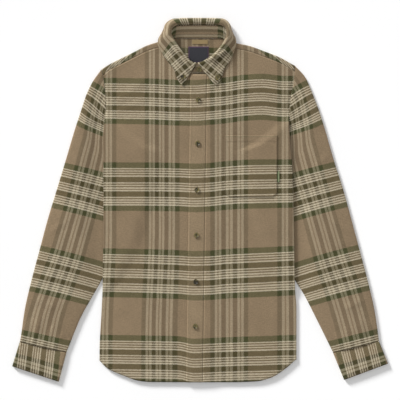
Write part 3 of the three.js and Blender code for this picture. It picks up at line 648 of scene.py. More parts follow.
@dataclass(frozen=True)
class Flannel:
    """Brushed cotton twill, woven in stripes both ways."""

    name: str
    sett: Sett = Sett()
    tan: tuple = colour(137, 118, 93)
    warp_cream: tuple = colour(183, 171, 145)
    weft_cream: tuple = colour(196, 185, 160)
    green_bar: tuple = colour(75, 76, 45)
    brown_bar: tuple = colour(82, 74, 46)
    warp_green: tuple = colour(44, 44, 24)
    warp_brown: tuple = colour(40, 31, 16)
    warp_line: tuple = colour(108, 92, 70)
    weft_line: tuple = colour(106, 93, 68)
    weft_share: float = 0.72
    cream_line: float = 2.6  # one of the four cream lines in a weft band
    yarn: float = 0.16  # how much one yarn's tone differs from the next
    twill: float = 0.0011  # pitch of the twill's ribs, in metres
    fuzz: float = 0.0011  # how far the brushed fibres blur a stripe's edge, in metres

    def warp_stops(self) -> list[tuple[float, tuple]]:
        """Returns the start and colour of each stripe across one warp repeat."""
        sett = self.sett
        split = 2.8
        half = (sett.warp_band - split) / 2
        stops, at = [], 0.0
        for k in range(4):
            stops.append((at, self.warp_green if k in (0, 3) else self.warp_brown))
            at += sett.warp_bar
            if k < 3:
                stops += [
                    (at, self.warp_cream), (at + half, self.warp_line),
                    (at + half + split, self.warp_cream),
                ]
                at += sett.warp_band
        stops.append((at, self.tan))
        return [(start / sett.warp_repeat, shade) for start, shade in stops]

    def weft_stops(self) -> list[tuple[float, tuple]]:
        """Returns the start and colour of each stripe across one weft repeat."""
        sett = self.sett
        dark_line = (sett.band - 4 * self.cream_line) / 3
        stops, at = [], 0.0
        for k in range(4):
            stops.append((at, self.green_bar if k in (0, 3) else self.brown_bar))
            at += sett.bar
            for n in range(4 if k < 3 else 0):
                stops.append((at, self.weft_cream))
                at += self.cream_line
                if n < 3:
                    stops.append((at, self.weft_line))
                    at += dark_line
        stops.append((at, self.tan))
        return [(start / sett.weft_repeat, shade) for start, shade in stops]

    def material(self) -> bpy.types.Material:
        """Builds the material from the piece's place in the cloth."""
        shade = Shading(self.name)
        place, across, along = shade.threads()
        blur = shade.noise(place, 1500, 1)
        parts = shade.tree.nodes.new("ShaderNodeSeparateColor")
        shade.join(blur.outputs["Color"], parts.inputs["Color"])
        colours = []
        repeats = (self.sett.warp_repeat, self.sett.weft_repeat)
        stops = (self.warp_stops(), self.weft_stops())
        grains = ((1100, 110), (110, 1100))
        for k, (coordinate, channel, repeat, table) in enumerate(
            zip((across, along), ("Red", "Green"), repeats, stops)
        ):
            shift = shade.range(parts.outputs[channel], 0.25, 0.75, -self.fuzz, self.fuzz)
            moved = shade.maths("ADD", coordinate, shift)
            part = shade.maths("FRACT", shade.maths("DIVIDE", moved, repeat * MM))
            slub = shade.streaks(across, along, *grains[k])
            level = shade.range(slub, 0.3, 0.7, 1 - self.yarn, 1 + self.yarn)
            colours.append(shade.dim(shade.stripes(part, table), level))
        diagonal = shade.maths("MULTIPLY", shade.maths("ADD", across, along), math.tau / self.twill)
        rib = shade.maths("SINE", diagonal)
        share = shade.range(rib, -1, 1, self.weft_share - 0.2, self.weft_share + 0.2)
        woven = shade.blend(share, colours[0], colours[1])
        nap = shade.noise(place, 420, 4)
        mottle = shade.noise(place, 24, 3)
        level = shade.maths(
            "MULTIPLY",
            shade.range(nap.outputs["Fac"], 0.3, 0.7, 0.84, 1.16),
            shade.range(mottle.outputs["Fac"], 0.3, 0.7, 0.95, 1.05),
        )
        shade.join(shade.dim(woven, level), shade.shader.inputs["Base Color"])
        pile = shade.noise(place, 900, 3)
        height = shade.maths("ADD", shade.maths("MULTIPLY", rib, 0.25), pile.outputs["Fac"])
        shade.bump(height, 0.45, 0.0005)
        shade.settings(
            Roughness=0.93, Specular_IOR_Level=0.18, Sheen_Weight=0.12, Sheen_Roughness=0.5
        )
        return shade.material


@dataclass(frozen=True)
class Tape:
    """Plain narrow woven tape, with a border where it has one."""

    name: str
    ground: tuple
    border: tuple
    edge: float = 0.0  # width of the border, in metres
    size: tuple[float, float] = (0.0, 0.0)  # half width and half length, in metres
    rib: float = 0.0009

    def material(self) -> bpy.types.Material:
        """Builds the material. The UV map's origin is the middle of the ground."""
        shade = Shading(self.name)
        place, across, along = shade.threads()
        weave = shade.maths("SINE", shade.maths("MULTIPLY", along, math.tau / self.rib))
        cross = shade.maths("SINE", shade.maths("MULTIPLY", across, math.tau / self.rib))
        woven = shade.maths("MULTIPLY", weave, cross)
        speck = shade.noise(place, 700, 2)
        base: object = self.ground
        if self.edge > 0:
            inner = [half - self.edge for half in self.size]
            side = shade.maths("GREATER_THAN", shade.maths("ABSOLUTE", across), inner[0])
            end = shade.maths("GREATER_THAN", shade.maths("ABSOLUTE", along), inner[1])
            base = shade.blend(shade.maths("MAXIMUM", side, end), self.ground, self.border)
        light = shade.range(speck.outputs["Fac"], 0.25, 0.75, 0.8, 1.2)
        shade.join(shade.dim(base, light), shade.shader.inputs["Base Color"])
        shade.bump(woven, 0.5, 0.0002)
        shade.settings(Roughness=0.75, Specular_IOR_Level=0.3, Sheen_Weight=0.15)
        return shade.material


@dataclass(frozen=True)
class Thread:
    """Sewing thread, a twisted strand with a low shine."""

    name: str
    tint: tuple

    def material(self) -> bpy.types.Material:
        """Builds the material on Object coordinates."""
        shade = Shading(self.name)
        place = shade.tree.nodes.new("ShaderNodeTexCoord").outputs["Object"]
        speck = shade.noise(place, 2500, 2)
        dark = tuple(0.6 * part for part in self.tint[:3]) + (1.0,)
        light = shade.blend(speck.outputs["Fac"], dark, self.tint)
        shade.join(light, shade.shader.inputs["Base Color"])
        shade.bump(speck.outputs["Fac"], 0.4, 0.0001)
        shade.settings(Roughness=0.6, Specular_IOR_Level=0.35, Sheen_Weight=0.2)
        return shade.material


@dataclass(frozen=True)
class Horn:
    """Olive-brown horn look, clouded and satin."""

    name: str
    dark: tuple = colour(42, 36, 18)
    light: tuple = colour(116, 105, 62)

    def material(self) -> bpy.types.Material:
        """Builds the material on Object coordinates."""
        shade = Shading(self.name)
        place = shade.tree.nodes.new("ShaderNodeTexCoord").outputs["Object"]
        cloud = shade.noise(place, 120, 3)
        cloud.inputs["Distortion"].default_value = 1.0
        shade.join(
            shade.blend(shade.range(cloud.outputs["Fac"], 0.42, 0.56, 0, 1), self.dark, self.light),
            shade.shader.inputs["Base Color"],
        )
        shade.bump(shade.noise(place, 900, 2).outputs["Fac"], 0.15, 0.0001)
        shade.settings(Roughness=0.32, Specular_IOR_Level=0.5)
        return shade.material


@dataclass(frozen=True)
class Finishes:
    """All the materials of the shirt."""

    body: bpy.types.Material
    sleeve: bpy.types.Material
    trim: bpy.types.Material
    label: bpy.types.Material
    tape: bpy.types.Material
    tab: bpy.types.Material
    thread: bpy.types.Material
    button_thread: bpy.types.Material
    horn: bpy.types.Material

    @classmethod
    def make(cls) -> "Finishes":
        """Builds every material once."""
        return cls(
            body=Flannel("body_flannel").material(),
            sleeve=Flannel("sleeve_flannel").material(),
            trim=Flannel(
                "band_flannel", tan=colour(143, 124, 98), weft_share=0.64, twill=0.001
            ).material(),
            label=Tape(
                "label_weave", colour(46, 46, 52), colour(76, 54, 76), 0.0022, (0.0228, 0.018)
            ).material(),
            tape=Tape(
                "khaki_tape", colour(142, 122, 84), colour(142, 122, 84), rib=0.0014
            ).material(),
            tab=Tape(
                "tab_tape", colour(158, 168, 126), colour(66, 78, 46), 0.0014, (0.0023, 0.02)
            ).material(),
            thread=Thread("tan_thread", colour(150, 134, 104)).material(),
            button_thread=Thread("olive_thread", colour(56, 51, 33)).material(),
            horn=Horn("horn").material(),
        )


# Stitches


class StitchKind(Enum):
    """The stitches on the shirt: pitch, length, thread radius and turn from the seam's line."""

    TOPSTITCH = (2.6, 2.0, 0.22, 0.0)
    EDGE = (2.4, 1.8, 0.2, 0.0)
    BUTTONHOLE = (0.42, 2.2, 0.2, math.pi / 2)


class Stitcher:
    """Sets stitches along lines, with one node tree for all of them."""

    SEED = 7
    SMALLEST, LARGEST = 0.85, 1.15  # size of a stitch against the even one

    def __init__(self, thread: bpy.types.Material) -> None:
        """Builds the tree.

        Args:
            thread: The thread's material.
        """
        self.thread = thread
        tree = bpy.data.node_groups.new("stitches_on_a_line", "GeometryNodeTree")
        self.tree = tree
        face = tree.interface
        face.new_socket("Lines", in_out="INPUT", socket_type="NodeSocketGeometry")
        for name in ("Pitch", "Length", "Radius", "Turn"):
            face.new_socket(name, in_out="INPUT", socket_type="NodeSocketFloat")
        face.new_socket("Seed", in_out="INPUT", socket_type="NodeSocketInt")
        face.new_socket("Thread", in_out="INPUT", socket_type="NodeSocketMaterial")
        face.new_socket("Stitches", in_out="OUTPUT", socket_type="NodeSocketGeometry")

        def node(kind: str) -> bpy.types.Node:
            """Adds one node to the tree."""
            return tree.nodes.new(kind)

        join = tree.links.new
        given = node("NodeGroupInput").outputs
        curve = node("GeometryNodeMeshToCurve")
        spaced = node("GeometryNodeResampleCurve")
        spaced.mode = "LENGTH"
        tangent = node("GeometryNodeInputTangent")
        align = node("FunctionNodeAlignRotationToVector")
        align.axis = "X"
        strand = node("GeometryNodeMeshUVSphere")
        strand.inputs["Segments"].default_value = 6
        strand.inputs["Rings"].default_value = 4
        strand.inputs["Radius"].default_value = 1.0
        half = node("ShaderNodeMath")
        half.operation = "MULTIPLY"
        half.inputs[1].default_value = 0.5
        size = node("ShaderNodeCombineXYZ")
        turn = node("ShaderNodeCombineXYZ")
        shape = node("GeometryNodeTransform")
        wobble = node("FunctionNodeRandomValue")
        wobble.data_type = "FLOAT"
        wobble.inputs[2].default_value = self.SMALLEST
        wobble.inputs[3].default_value = self.LARGEST
        place = node("GeometryNodeInstanceOnPoints")
        real = node("GeometryNodeRealizeInstances")
        finish = node("GeometryNodeSetMaterial")
        out = node("NodeGroupOutput")
        join(given["Lines"], curve.inputs["Mesh"])
        join(curve.outputs["Curve"], spaced.inputs["Curve"])
        join(given["Pitch"], spaced.inputs["Length"])
        join(spaced.outputs["Curve"], place.inputs["Points"])
        join(tangent.outputs["Tangent"], align.inputs["Vector"])
        join(align.outputs["Rotation"], place.inputs["Rotation"])
        join(given["Length"], half.inputs[0])
        join(half.outputs[0], size.inputs["X"])
        join(given["Radius"], size.inputs["Y"])
        join(given["Radius"], size.inputs["Z"])
        join(given["Turn"], turn.inputs["Z"])
        join(strand.outputs["Mesh"], shape.inputs["Geometry"])
        join(size.outputs["Vector"], shape.inputs["Scale"])
        join(turn.outputs["Vector"], shape.inputs["Rotation"])
        join(shape.outputs["Geometry"], place.inputs["Instance"])
        join(given["Seed"], wobble.inputs["Seed"])
        join(wobble.outputs[1], place.inputs["Scale"])
        join(place.outputs["Instances"], real.inputs["Geometry"])
        join(real.outputs["Geometry"], finish.inputs["Geometry"])
        join(given["Thread"], finish.inputs["Material"])
        join(finish.outputs["Geometry"], out.inputs["Stitches"])

    def sew(
        self, name: str, lines: Sequence[Array], kind: StitchKind
    ) -> bpy.types.Object:
        """Args:
            name: The piece's name.
            lines: Each line's points, in millimetres.
            kind: Which stitch.

        Returns:
            One plain mesh with every stitch.
        """
        mesh = bpy.data.meshes.new(name + "_lines")
        points, edges = [], []
        for line in lines:
            start = len(points)
            points += (np.asarray(line) * MM).tolist()
            edges += [(start + k, start + k + 1) for k in range(len(line) - 1)]
        mesh.from_pydata(points, edges, [])
        guide = placed(name + "_lines", mesh)
        modifier = guide.modifiers.new("stitches", "NODES")
        modifier.node_group = self.tree
        pitch, length, radius, turn = kind.value
        values = {
            "Pitch": pitch * MM, "Length": length * MM, "Radius": radius * MM, "Turn": turn,
            "Seed": self.SEED, "Thread": self.thread,
        }
        for item in self.tree.interface.items_tree:
            if item.in_out == "INPUT" and item.name in values:
                modifier[item.identifier] = values[item.name]
        bpy.context.view_layer.update()
        evaluated = guide.evaluated_get(bpy.context.evaluated_depsgraph_get())
        result = bpy.data.meshes.new_from_object(evaluated)
        result.name = name
        bpy.data.objects.remove(guide)
        piece = placed(name, result)
        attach(piece, "root")
        return piece


# Body


@dataclass
class Yoke:
    """The yoke: flat across the back, and wrapped over both shoulders to a strip in front."""

    lay: Layout
    columns: int = 97
    flat_rows: int = 12
    wrap_steps: int = 8
    strip_rows: int = 4
    neck_left: tuple[float, float] = (-78, -62)  # x where the wrap fades out towards the neck
    neck_right: tuple[float, float] = (55, 71)
    neck_edge: float = 0.9  # how far the yoke runs on at the neck
    strip_turn: float = 40.0  # how far the plaid turns on the front strips, in degrees
    strip_run: tuple[float, float] = (94, 104)  # how far up a column that turn sets in
    strip_x: tuple[float, float] = (68, 80)  # and how far from the middle
    anchor_run: float = 96.0  # how far up the middle column the cloth's place is known
    anchor: tuple[float, float] = (53.0, 178.3)  # that place, across the warp and along it

    def column(self, share: float) -> Array:
        """Returns the middle points of one column, from the back seam round to the front.

        Args:
            share: -1 at the left shoulder point, 1 at the right.
        """
        lay = self.lay
        tip = abs(float(lay.shoulder.places[0 if share < 0 else -1]))
        fold_x = tip * share
        fold_y = float(lay.shoulder(fold_x))
        wrap = float(max(1 - ease(*self.neck_left, fold_x), ease(*self.neck_right, fold_x)))
        radius = lay.flat_space / 2
        start = lay.yoke_back + lay.gap / 2
        rows = [(float(mix(start, fold_y - radius, k / self.flat_rows)), lay.middle)
                for k in range(self.flat_rows)]
        for k in range(self.wrap_steps + 1):
            turn = math.pi * k / self.wrap_steps * wrap
            out = radius * math.sin(turn) + (1 - wrap) * radius * k / self.wrap_steps
            rows.append((fold_y - radius + out, lay.middle + radius * (1 - math.cos(turn)) * wrap))
        end_y, end_z = rows[-1]
        strip = (lay.yoke_strip - radius) * wrap
        for k in range(1, self.strip_rows + 1):
            part = k / self.strip_rows
            forward = -strip * part if wrap > 0.5 else self.neck_edge * part
            rows.append((end_y + forward, end_z))
        side = -1 if share < 0 else 1
        return np.array([(float(lay.edge(side, y)) * abs(share), y, z) for y, z in rows])

    def grid(self) -> Array:
        """Returns the middle points of the whole yoke, rows from the back seam."""
        shares = np.linspace(-1, 1, self.columns)
        return np.stack([self.column(share) for share in shares], 1)

    def build(self, finish: Finishes) -> None:
        """Makes the yoke. Its plaid is straight across the back, and turned on the front strips."""
        grid = self.grid()
        run = climbed(grid)
        x = grid[..., 0]
        front = ease(*self.strip_run, run) * ease(*self.strip_x, np.abs(x))
        turn = front * math.radians(self.strip_turn) * np.sign(x)
        beyond = run - self.anchor_run
        across = self.anchor[0] + x * np.cos(turn) + beyond * np.sin(turn)
        along = self.anchor[1] - beyond * np.cos(turn) - x * np.sin(turn)
        piece = make_shell("yoke_cloth", grid, self.lay.cloth, np.stack([across, along], -1))
        dress(piece, finish.body, "body_flannel", "yoke")

    def front_end(self, x: Array) -> Array:
        """Returns y of the end of the front strip at some x."""
        ends = self.grid()[-1]
        return np.interp(x, ends[:, 0], ends[:, 1])


@dataclass
class Body:
    """The back and the two fronts, joined by soft folds down the sides."""

    lay: Layout
    sett: Sett
    yoke: Yoke
    columns: int = 54
    rows: int = 176
    back_columns: int = 84
    back_rows: int = 150
    fold_steps: int = 5
    hem_extra: float = 0.5  # how much thicker the turned hem is
    back_rise: float = 1.5  # how much higher the back ends at the hem
    edge_dip: float = 0.9  # how far a front's edge turns down at the armhole seam

    def front_top(self, x: Array) -> Array:
        """Returns y of a front's upper edge."""
        neck = (x > -81) & (x < 71)
        return np.where(neck, self.lay.front_neck(x), self.yoke.front_end(x))

    def fold_columns(self) -> tuple[Array, Array]:
        """Returns the insets of the side fold's columns and the share of its turn at each."""
        turn = np.linspace(0, math.pi / 2, self.fold_steps)
        return 1 - np.cos(turn), np.sin(turn)

    def front_grid(self, side: int) -> Array:
        """Returns a front's middle points, columns from left to right, rows from the hem up.

        Args:
            side: -1 for the left front, 1 for the right.
        """
        lay = self.lay
        insets, rises = self.fold_columns()
        inner = np.linspace(0, 1, self.columns)[1:]
        share = np.concatenate([np.zeros(len(insets)), inner])
        inset = np.concatenate([insets, np.ones(len(inner))])
        rise = np.concatenate([rises, np.ones(len(inner))])
        last = lay.underlap if side < 0 else lay.placket_width / 2 + lay.gap
        radius = lay.flat_space / 2

        def x_at(y: Array) -> Array:
            """Returns x of each column at its own height."""
            start = lay.edge(side, y) - side * inset * radius
            return mix(start, lay.placket_x(y) + last, share)

        count = len(share)
        bottom = lay.hem(x_at(np.full(count, lay.hem_level)))
        top = np.full(count, 285.0)
        for _ in range(5):
            top = self.front_top(x_at(top)) - lay.gap
        y = mix(bottom, top, np.linspace(0, 1, self.rows)[:, None])
        x = x_at(y)
        flat = lay.front(side, x, y)
        fold = lay.back(x, y) + radius + lay.gap
        z = mix(flat, mix(fold, flat, rise), lay.closed(y))
        dip = self.edge_dip * (1 - lay.closed(y))
        z = z - dip * bell(side * (lay.edge(side, y) - x), 4)
        grid = np.stack([x, y, z], -1)
        return grid if side < 0 else grid[:, ::-1]

    def hem_thickness(self, grid: Array) -> Array:
        """Returns the cloth's thickness, with the turned hem a little thicker."""
        above = grid[..., 1] - grid[:1, :, 1]
        return self.lay.cloth + self.hem_extra * (1 - ease(5, 8, above))

    def back_grid(self) -> Array:
        """Returns the back's middle points."""
        lay = self.lay
        insets, rises = self.fold_columns()
        radius = lay.flat_space / 2
        inner = np.linspace(0, 1, self.back_columns)[1:-1]
        share = np.concatenate([np.zeros(self.fold_steps), inner, np.ones(self.fold_steps)])
        inset = np.concatenate([insets, np.ones(len(inner)), insets[::-1]]) * radius
        rise = np.concatenate([rises, np.ones(len(inner)), rises[::-1]])

        def x_at(y: Array) -> Array:
            """Returns x of each column at its own height."""
            left, right = lay.left_edge(y) + radius, lay.right_edge(y) - radius
            outside = np.where(share == 0, inset - radius, np.where(share == 1, radius - inset, 0))
            return mix(left, right, share) + outside

        count = len(share)
        bottom = lay.hem(x_at(np.full(count, lay.hem_level))) + self.back_rise
        top = lay.yoke_back - lay.gap / 2
        y = mix(bottom, top, np.linspace(0, 1, self.back_rows)[:, None])
        x = x_at(y)
        flat = lay.back(x, y)
        z = mix(flat, mix(flat + radius - lay.gap, flat, rise), lay.closed(y))
        return np.stack([x, y, z], -1)

    def build(self, finish: Finishes) -> None:
        """Makes the back and both fronts."""
        back = self.back_grid()
        threads = self.sett.body(back[..., 0], back[..., 1])
        piece = make_shell("back_cloth", back, self.lay.cloth, threads)
        dress(piece, finish.body, "body_flannel", "back")
        for side, name in ((-1, "left"), (1, "right")):
            grid = self.front_grid(side)
            threads = self.sett.body(grid[..., 0], grid[..., 1])
            piece = make_shell(f"front_{name}_cloth", grid, self.hem_thickness(grid), threads)
            dress(piece, finish.body, "body_flannel", f"front_{name}")

    def stitch_lines(self) -> list[Array]:
        """Returns the lines of stitches along the hem, the armholes and the yoke's strips."""
        lay = self.lay
        lines = []
        clear = lay.cloth / 2 + 0.12
        for side in (-1, 1):
            inner = float(lay.placket_x(-405)) + side * (lay.placket_width / 2 + 2)
            outer = float(lay.edge(side, -360)) - side * 6
            x = np.linspace(outer, inner, 60)
            y = lay.hem(x) + 6.5
            lines.append(np.stack([x, y, lay.front(side, x, y) + clear + 0.2], -1))
            y = np.linspace(170, 280, 40)
            x = lay.edge(side, y) - side * 6
            lines.append(np.stack([x, y, lay.front(side, x, y) + clear], -1))
            x = np.linspace(side * 84, side * 205, 50)
            y = lay.shoulder(x) - lay.yoke_strip - 3.5
            lines.append(np.stack([x, y, lay.front(side, x, y) + clear], -1))
        return lines


@dataclass
class Placket:
    """The buttonhole band down the front."""

    lay: Layout
    sett: Sett
    body: Body
    thickness: float = 2.0
    rows: int = 176
    columns: int = 15

    def lift(self) -> float:
        """Returns how far its middle lies above the left front's."""
        return self.lay.cloth / 2 + self.lay.gap + self.thickness / 2

    def grid(self) -> Array:
        """Returns the band's middle points, with soft puckers between its two seams."""
        lay = self.lay
        half = lay.placket_width / 2
        top = float(self.body.front_top(np.array([lay.placket_head[0]]))[0]) - lay.gap
        y = np.linspace(lay.placket_foot[1], top, self.rows)[:, None]
        offset = np.linspace(-half, half, self.columns)[None, :]
        x = lay.placket_x(y) + offset
        z = lay.front(-1, x, y) + self.lift()
        z = z + 0.25 * np.sin(y / 9.1) * np.sin(y / 23.7) * bell(offset, 10)
        z = z + 0.3 * bell(offset, 12) - 0.25 * bell(np.abs(offset) - half + 6, 1.5)
        return np.stack([x, np.broadcast_to(y, x.shape), z], -1)

    def build(self, finish: Finishes) -> None:
        """Makes the band."""
        grid = self.grid()
        edge = np.ones(self.columns)
        edge[[0, -1]] = 0.6
        threads = self.sett.body(grid[..., 0], grid[..., 1])
        piece = make_shell("placket_cloth", grid, self.thickness * edge[None, :], threads)
        dress(piece, finish.trim, "band_flannel", "placket")

    def stitch_lines(self) -> list[Array]:
        """Returns the two lines of stitches down the band."""
        grid = self.grid()
        outer, _ = walled(grid, self.thickness + 0.2, False)
        return [outer[:, 2], outer[:, -3]]

    def buttonholes(self, heights: Sequence[float]) -> list[Array]:
        """Returns a narrow loop round each buttonhole.

        Args:
            heights: y of each button.
        """
        lines = []
        for y0 in heights:
            angle = np.linspace(0, math.tau, 41)
            x0 = float(self.lay.placket_x(y0))
            x, y = x0 + 1.1 * np.cos(angle), y0 + 8.5 * np.sin(angle)
            z = self.lay.front(-1, x, y) + self.lift() + self.thickness / 2 + 0.45
            lines.append(np.stack([x, y, z], -1))
        return lines


@dataclass
class Pocket:
    """The patch pocket on the right front, with its tab in the side seam."""

    lay: Layout
    sett: Sett
    left: float = 55.0
    right: float = 173.0
    bottom: float = 7.0
    top: float = 145.0
    corner: float = 9.0
    thickness: float = 1.2
    hem: float = 15.0
    hem_extra: float = 0.5  # how much thicker the hem is
    painted_highlight: float = 2.9  # from the mouth to a painted highlight: a line of the cloth's cream on the hem, where its rolled top catches the light
    painted_highlight_half: float = 0.8  # half the width of that line
    cream_half: float = 1.3  # half the width of a cream line in the cloth
    tab_width: float = 4.6
    tab_length: float = 24.0
    tab_y: float = 52.0

    def grid(self) -> Array:
        """Returns the pocket's middle points. Its mouth stands a little open."""
        lay = self.lay
        x = np.linspace(self.left, self.right, 56)[None, :]
        inset = np.minimum(x - self.left, self.right - x)
        low = self.bottom + self.corner * np.clip(1 - inset / 11, 0, 1)
        y = mix(low, self.top, np.linspace(0, 1, 92)[:, None])
        x = np.broadcast_to(x, y.shape)
        z = lay.front(1, x, y) + lay.cloth / 2 + lay.gap + self.thickness / 2
        belly = ease(0, 30, np.broadcast_to(inset, y.shape)) * ease(self.bottom, self.top, y)
        z = z + 0.9 * belly - 0.4 * bell(y - self.top + self.hem, 1.6)
        return np.stack([x, y, z], -1)

    def build(self, finish: Finishes) -> None:
        """Makes the pocket and the blank folded tab."""
        grid = self.grid()
        seam = self.top - self.hem
        thick = self.thickness + self.hem_extra * ease(seam - 1, seam + 1, grid[..., 1])
        threads = self.sett.body(grid[..., 0], grid[..., 1])
        # Painted highlight: a line of the cloth's cream just below the mouth, where the hem's rolled top
        # catches the light.
        painted_highlight = np.abs(grid[..., 1] - self.top + self.painted_highlight) < self.painted_highlight_half
        last_cream = 3 * self.sett.bar + 3 * self.sett.band - self.cream_half
        threads[..., 1] = np.where(painted_highlight, last_cream, threads[..., 1])
        piece = make_shell("pocket_cloth", grid, thick, threads)
        dress(piece, finish.body, "body_flannel", "pocket")
        lay = self.lay
        left = self.right + lay.gap
        middle = left + self.tab_width / 2
        x = np.linspace(left, left + self.tab_width, 9)[None, :]
        y = self.tab_y + np.linspace(-0.5, 0.5, 20)[:, None] * self.tab_length
        z = lay.front(1, x, y) + lay.cloth / 2 + lay.gap + 0.6 + 0.25 * bell(x - middle, 1.4)
        tab = np.stack([np.broadcast_to(x, z.shape), np.broadcast_to(y, z.shape), z], -1)
        piece = make_shell("tab_cloth", tab, 1.1, tab[..., :2] - [middle + 1.2, self.tab_y])
        dress(piece, finish.tab, "tab_tape", "pocket_tab")

    def stitch_lines(self) -> list[Array]:
        """Returns the lines of stitches round the pocket and along its hem."""
        grid = self.grid()
        outer, _ = walled(grid, self.thickness + self.hem_extra, False)
        across = outer[-5].copy()
        across[:, 1] = self.top - self.hem
        return [np.concatenate([outer[::-1, 1], outer[1, 1:-1], outer[:, -2]]), across]


# Sleeves and cuffs


@dataclass
class Sleeve:
    """One sleeve, a flattened tube from the armhole to the cuff seam."""

    lay: Layout
    sett: Sett
    side: int
    rings: int = 150
    crown: float = 3.4
    roundness: float = 0.7
    # Outer x and y, inner x and y, and how much of the armhole's curve each ring keeps
    left_rows: Profile = Profile(
        (0, -221.6, 292.5, -130, 105, 1), (1, -240.7, 265.5, -130.5, 91, 0.72),
        (2, -254, 238.5, -132, 75, 0.48), (3, -267.7, 198, -136, 52, 0.25),
        (4, -281, 157.5, -141, 26, 0.1), (5, -301, 90, -152, -15, 0),
        (6, -321.5, 22.5, -166, -62, 0), (7, -342, -45, -186, -112, 0),
        (8, -360, -112.5, -212, -162, 0), (9, -378, -180, -240, -212, 0),
        (10, -393.5, -247.5, -268, -262, 0), (11, -401.9, -306, -297.3, -333, 0),
        (11.2, -404.3, -319.5, -301.3, -342.7, 0),
    )
    right_rows: Profile = Profile(
        (0, 212.5, 301.5, 130, 105, 1), (1, 235, 277, 130.5, 91, 0.72),
        (2, 250.5, 243, 132, 75, 0.48), (3, 267, 200, 136, 52, 0.25),
        (4, 280.5, 157.5, 141, 26, 0.1), (5, 300, 90, 152, -15, 0),
        (6, 321.5, 22.5, 166, -62, 0), (7, 340, -45, 186, -114, 0),
        (8, 358, -112.5, 208, -168, 0), (9, 376, -180, 236, -215, 0),
        (10, 391.5, -247.5, 263, -268, 0), (11, 400.3, -307.1, 295.6, -334, 0),
        (11.2, 401.6, -317.9, 300.2, -343.4, 0),
    )
    # Share of the width at which the middle cream stripe runs, by ring place: left, right
    stripe: Profile = Profile(
        (0, 0.26, 0.29), (1, 0.285, 0.315), (2, 0.305, 0.34), (3, 0.324, 0.365), (4, 0.354, 0.395),
        (5.4, 0.356, 0.386), (7, 0.38, 0.399), (8.2, 0.4, 0.411), (10, 0.392, 0.428),
        (11.2, 0.42, 0.455),
    )
    # Millimetres of cloth to each one across the sleeve as it lies, by ring place
    crowding: Profile = Profile(
        (0, 0.9), (3, 0.92), (4.3, 0.965), (6, 1.09), (8, 1.06), (9.5, 1.03), (11.2, 1.03)
    )
    # How far the weft bands drop at the armhole, by y, on the left and on the right
    drop: Profile = Profile(
        (95, 0, 0), (145, 11, 6), (170, 18, 15), (193, 26, 19), (215, 21, 17), (238, 12, 11), (290, 0, 0)
    )
    folds: tuple[Fold, ...] = (
        Fold(248, 205, 128, 70, 17, 1.8), Fold(262, 120, 112, 95, 18, 1.6),
        Fold(300, 10, 100, 110, 22, 1.5), Fold(335, -150, 108, 90, 20, 1.4),
        Fold(352, -262, 115, 50, 15, 1.5),
    )
    creases: tuple[Fold, ...] = (
        Fold(262, 170, 150, 35, 7, 1.1), Fold(285, 95, 35, 34, 7, 0.9),
        Fold(318, -60, 145, 36, 7, 1.0), Fold(325, -110, 20, 34, 7, -0.8),
        Fold(352, -180, 150, 32, 6, 1.0), Fold(345, -235, 25, 34, 6, 1.0),
        Fold(365, -290, 105, 36, 5, 1.2), Fold(338, -305, 110, 34, 5, 1.1),
        Fold(318, -318, 115, 26, 4, 0.9), Fold(386, -292, 100, 28, 5, 0.9),
    )

    @property
    def rows(self) -> Profile:
        """The table of rings for this side."""
        return self.left_rows if self.side < 0 else self.right_rows

    def armhole(self) -> tuple[Array, Array]:
        """Returns the places along the armhole seam, and the share of a turn at each."""
        lay, side = self.lay, self.side
        start = self.rows(0)
        tip = np.array([start[0] + side * lay.armhole_gap, start[1]])
        under = np.array([start[2], start[3]])
        y = np.arange(start[1] - 8, 165, -4.0)
        inside = lay.edge(side, y) + side * (
            lay.armhole_gap + lay.cloth / 2 * np.minimum(1, 5 * lay.closed(y))
        )
        seam = [np.array(p) for p in zip(inside, y)]
        corners = [seam[-1], np.array([side * 201.0, 143]), np.array([side * 172.0, 121]), under]
        for a, b in zip(corners[:-1], corners[1:]):
            count = int(np.linalg.norm(b - a) // 5)
            seam += [mix(a, b, (k + 1) / count) for k in range(count - (b is under))]
        radius = lay.flat_space / 2
        insets = 1 - np.cos(np.linspace(0, math.pi / 2, 4))
        turns = np.sin(np.linspace(0, math.pi / 2, 4))

        def towards(first: Array, second: Array, distance: float) -> Array:
            """Returns the point at a distance from first on the way to second."""
            return first + (second - first) * distance / np.linalg.norm(second - first)

        places = [towards(tip, seam[0], radius * part) for part in insets] + seam
        places += [towards(under, seam[-1], radius * part) for part in insets[::-1]]
        turn = np.concatenate([turns, np.ones(len(seam)), turns[::-1]])
        return np.array(places), turn

    def height(self, x: Array, y: Array, share: Array) -> tuple[Array, Array]:
        """Returns the space between a sleeve's layers and the swell of the upper one.

        Args:
            x: Places across the shirt.
            y: Places along the shirt.
            share: How far across the sleeve each place is, from the outer edge.
        """
        lay, side = self.lay, self.side
        beyond = side * (x - lay.edge(side, y))
        free = np.maximum(ease(12, 45, beyond), ease(165, 205, y))
        space = mix(lay.pressed_space, lay.flat_space, free)
        large = self.crown + folds_height(self.folds, x, y, side)
        round_off = np.maximum(np.sin(math.pi * share), 0) ** self.roundness
        swell = ease(10, 60, beyond) * round_off * large
        fine = ease(6, 30, beyond) * ease(0, 0.12, share) * ease(0, 0.12, 1 - share)
        return space, swell + fine * folds_height(self.creases, x, y, side)

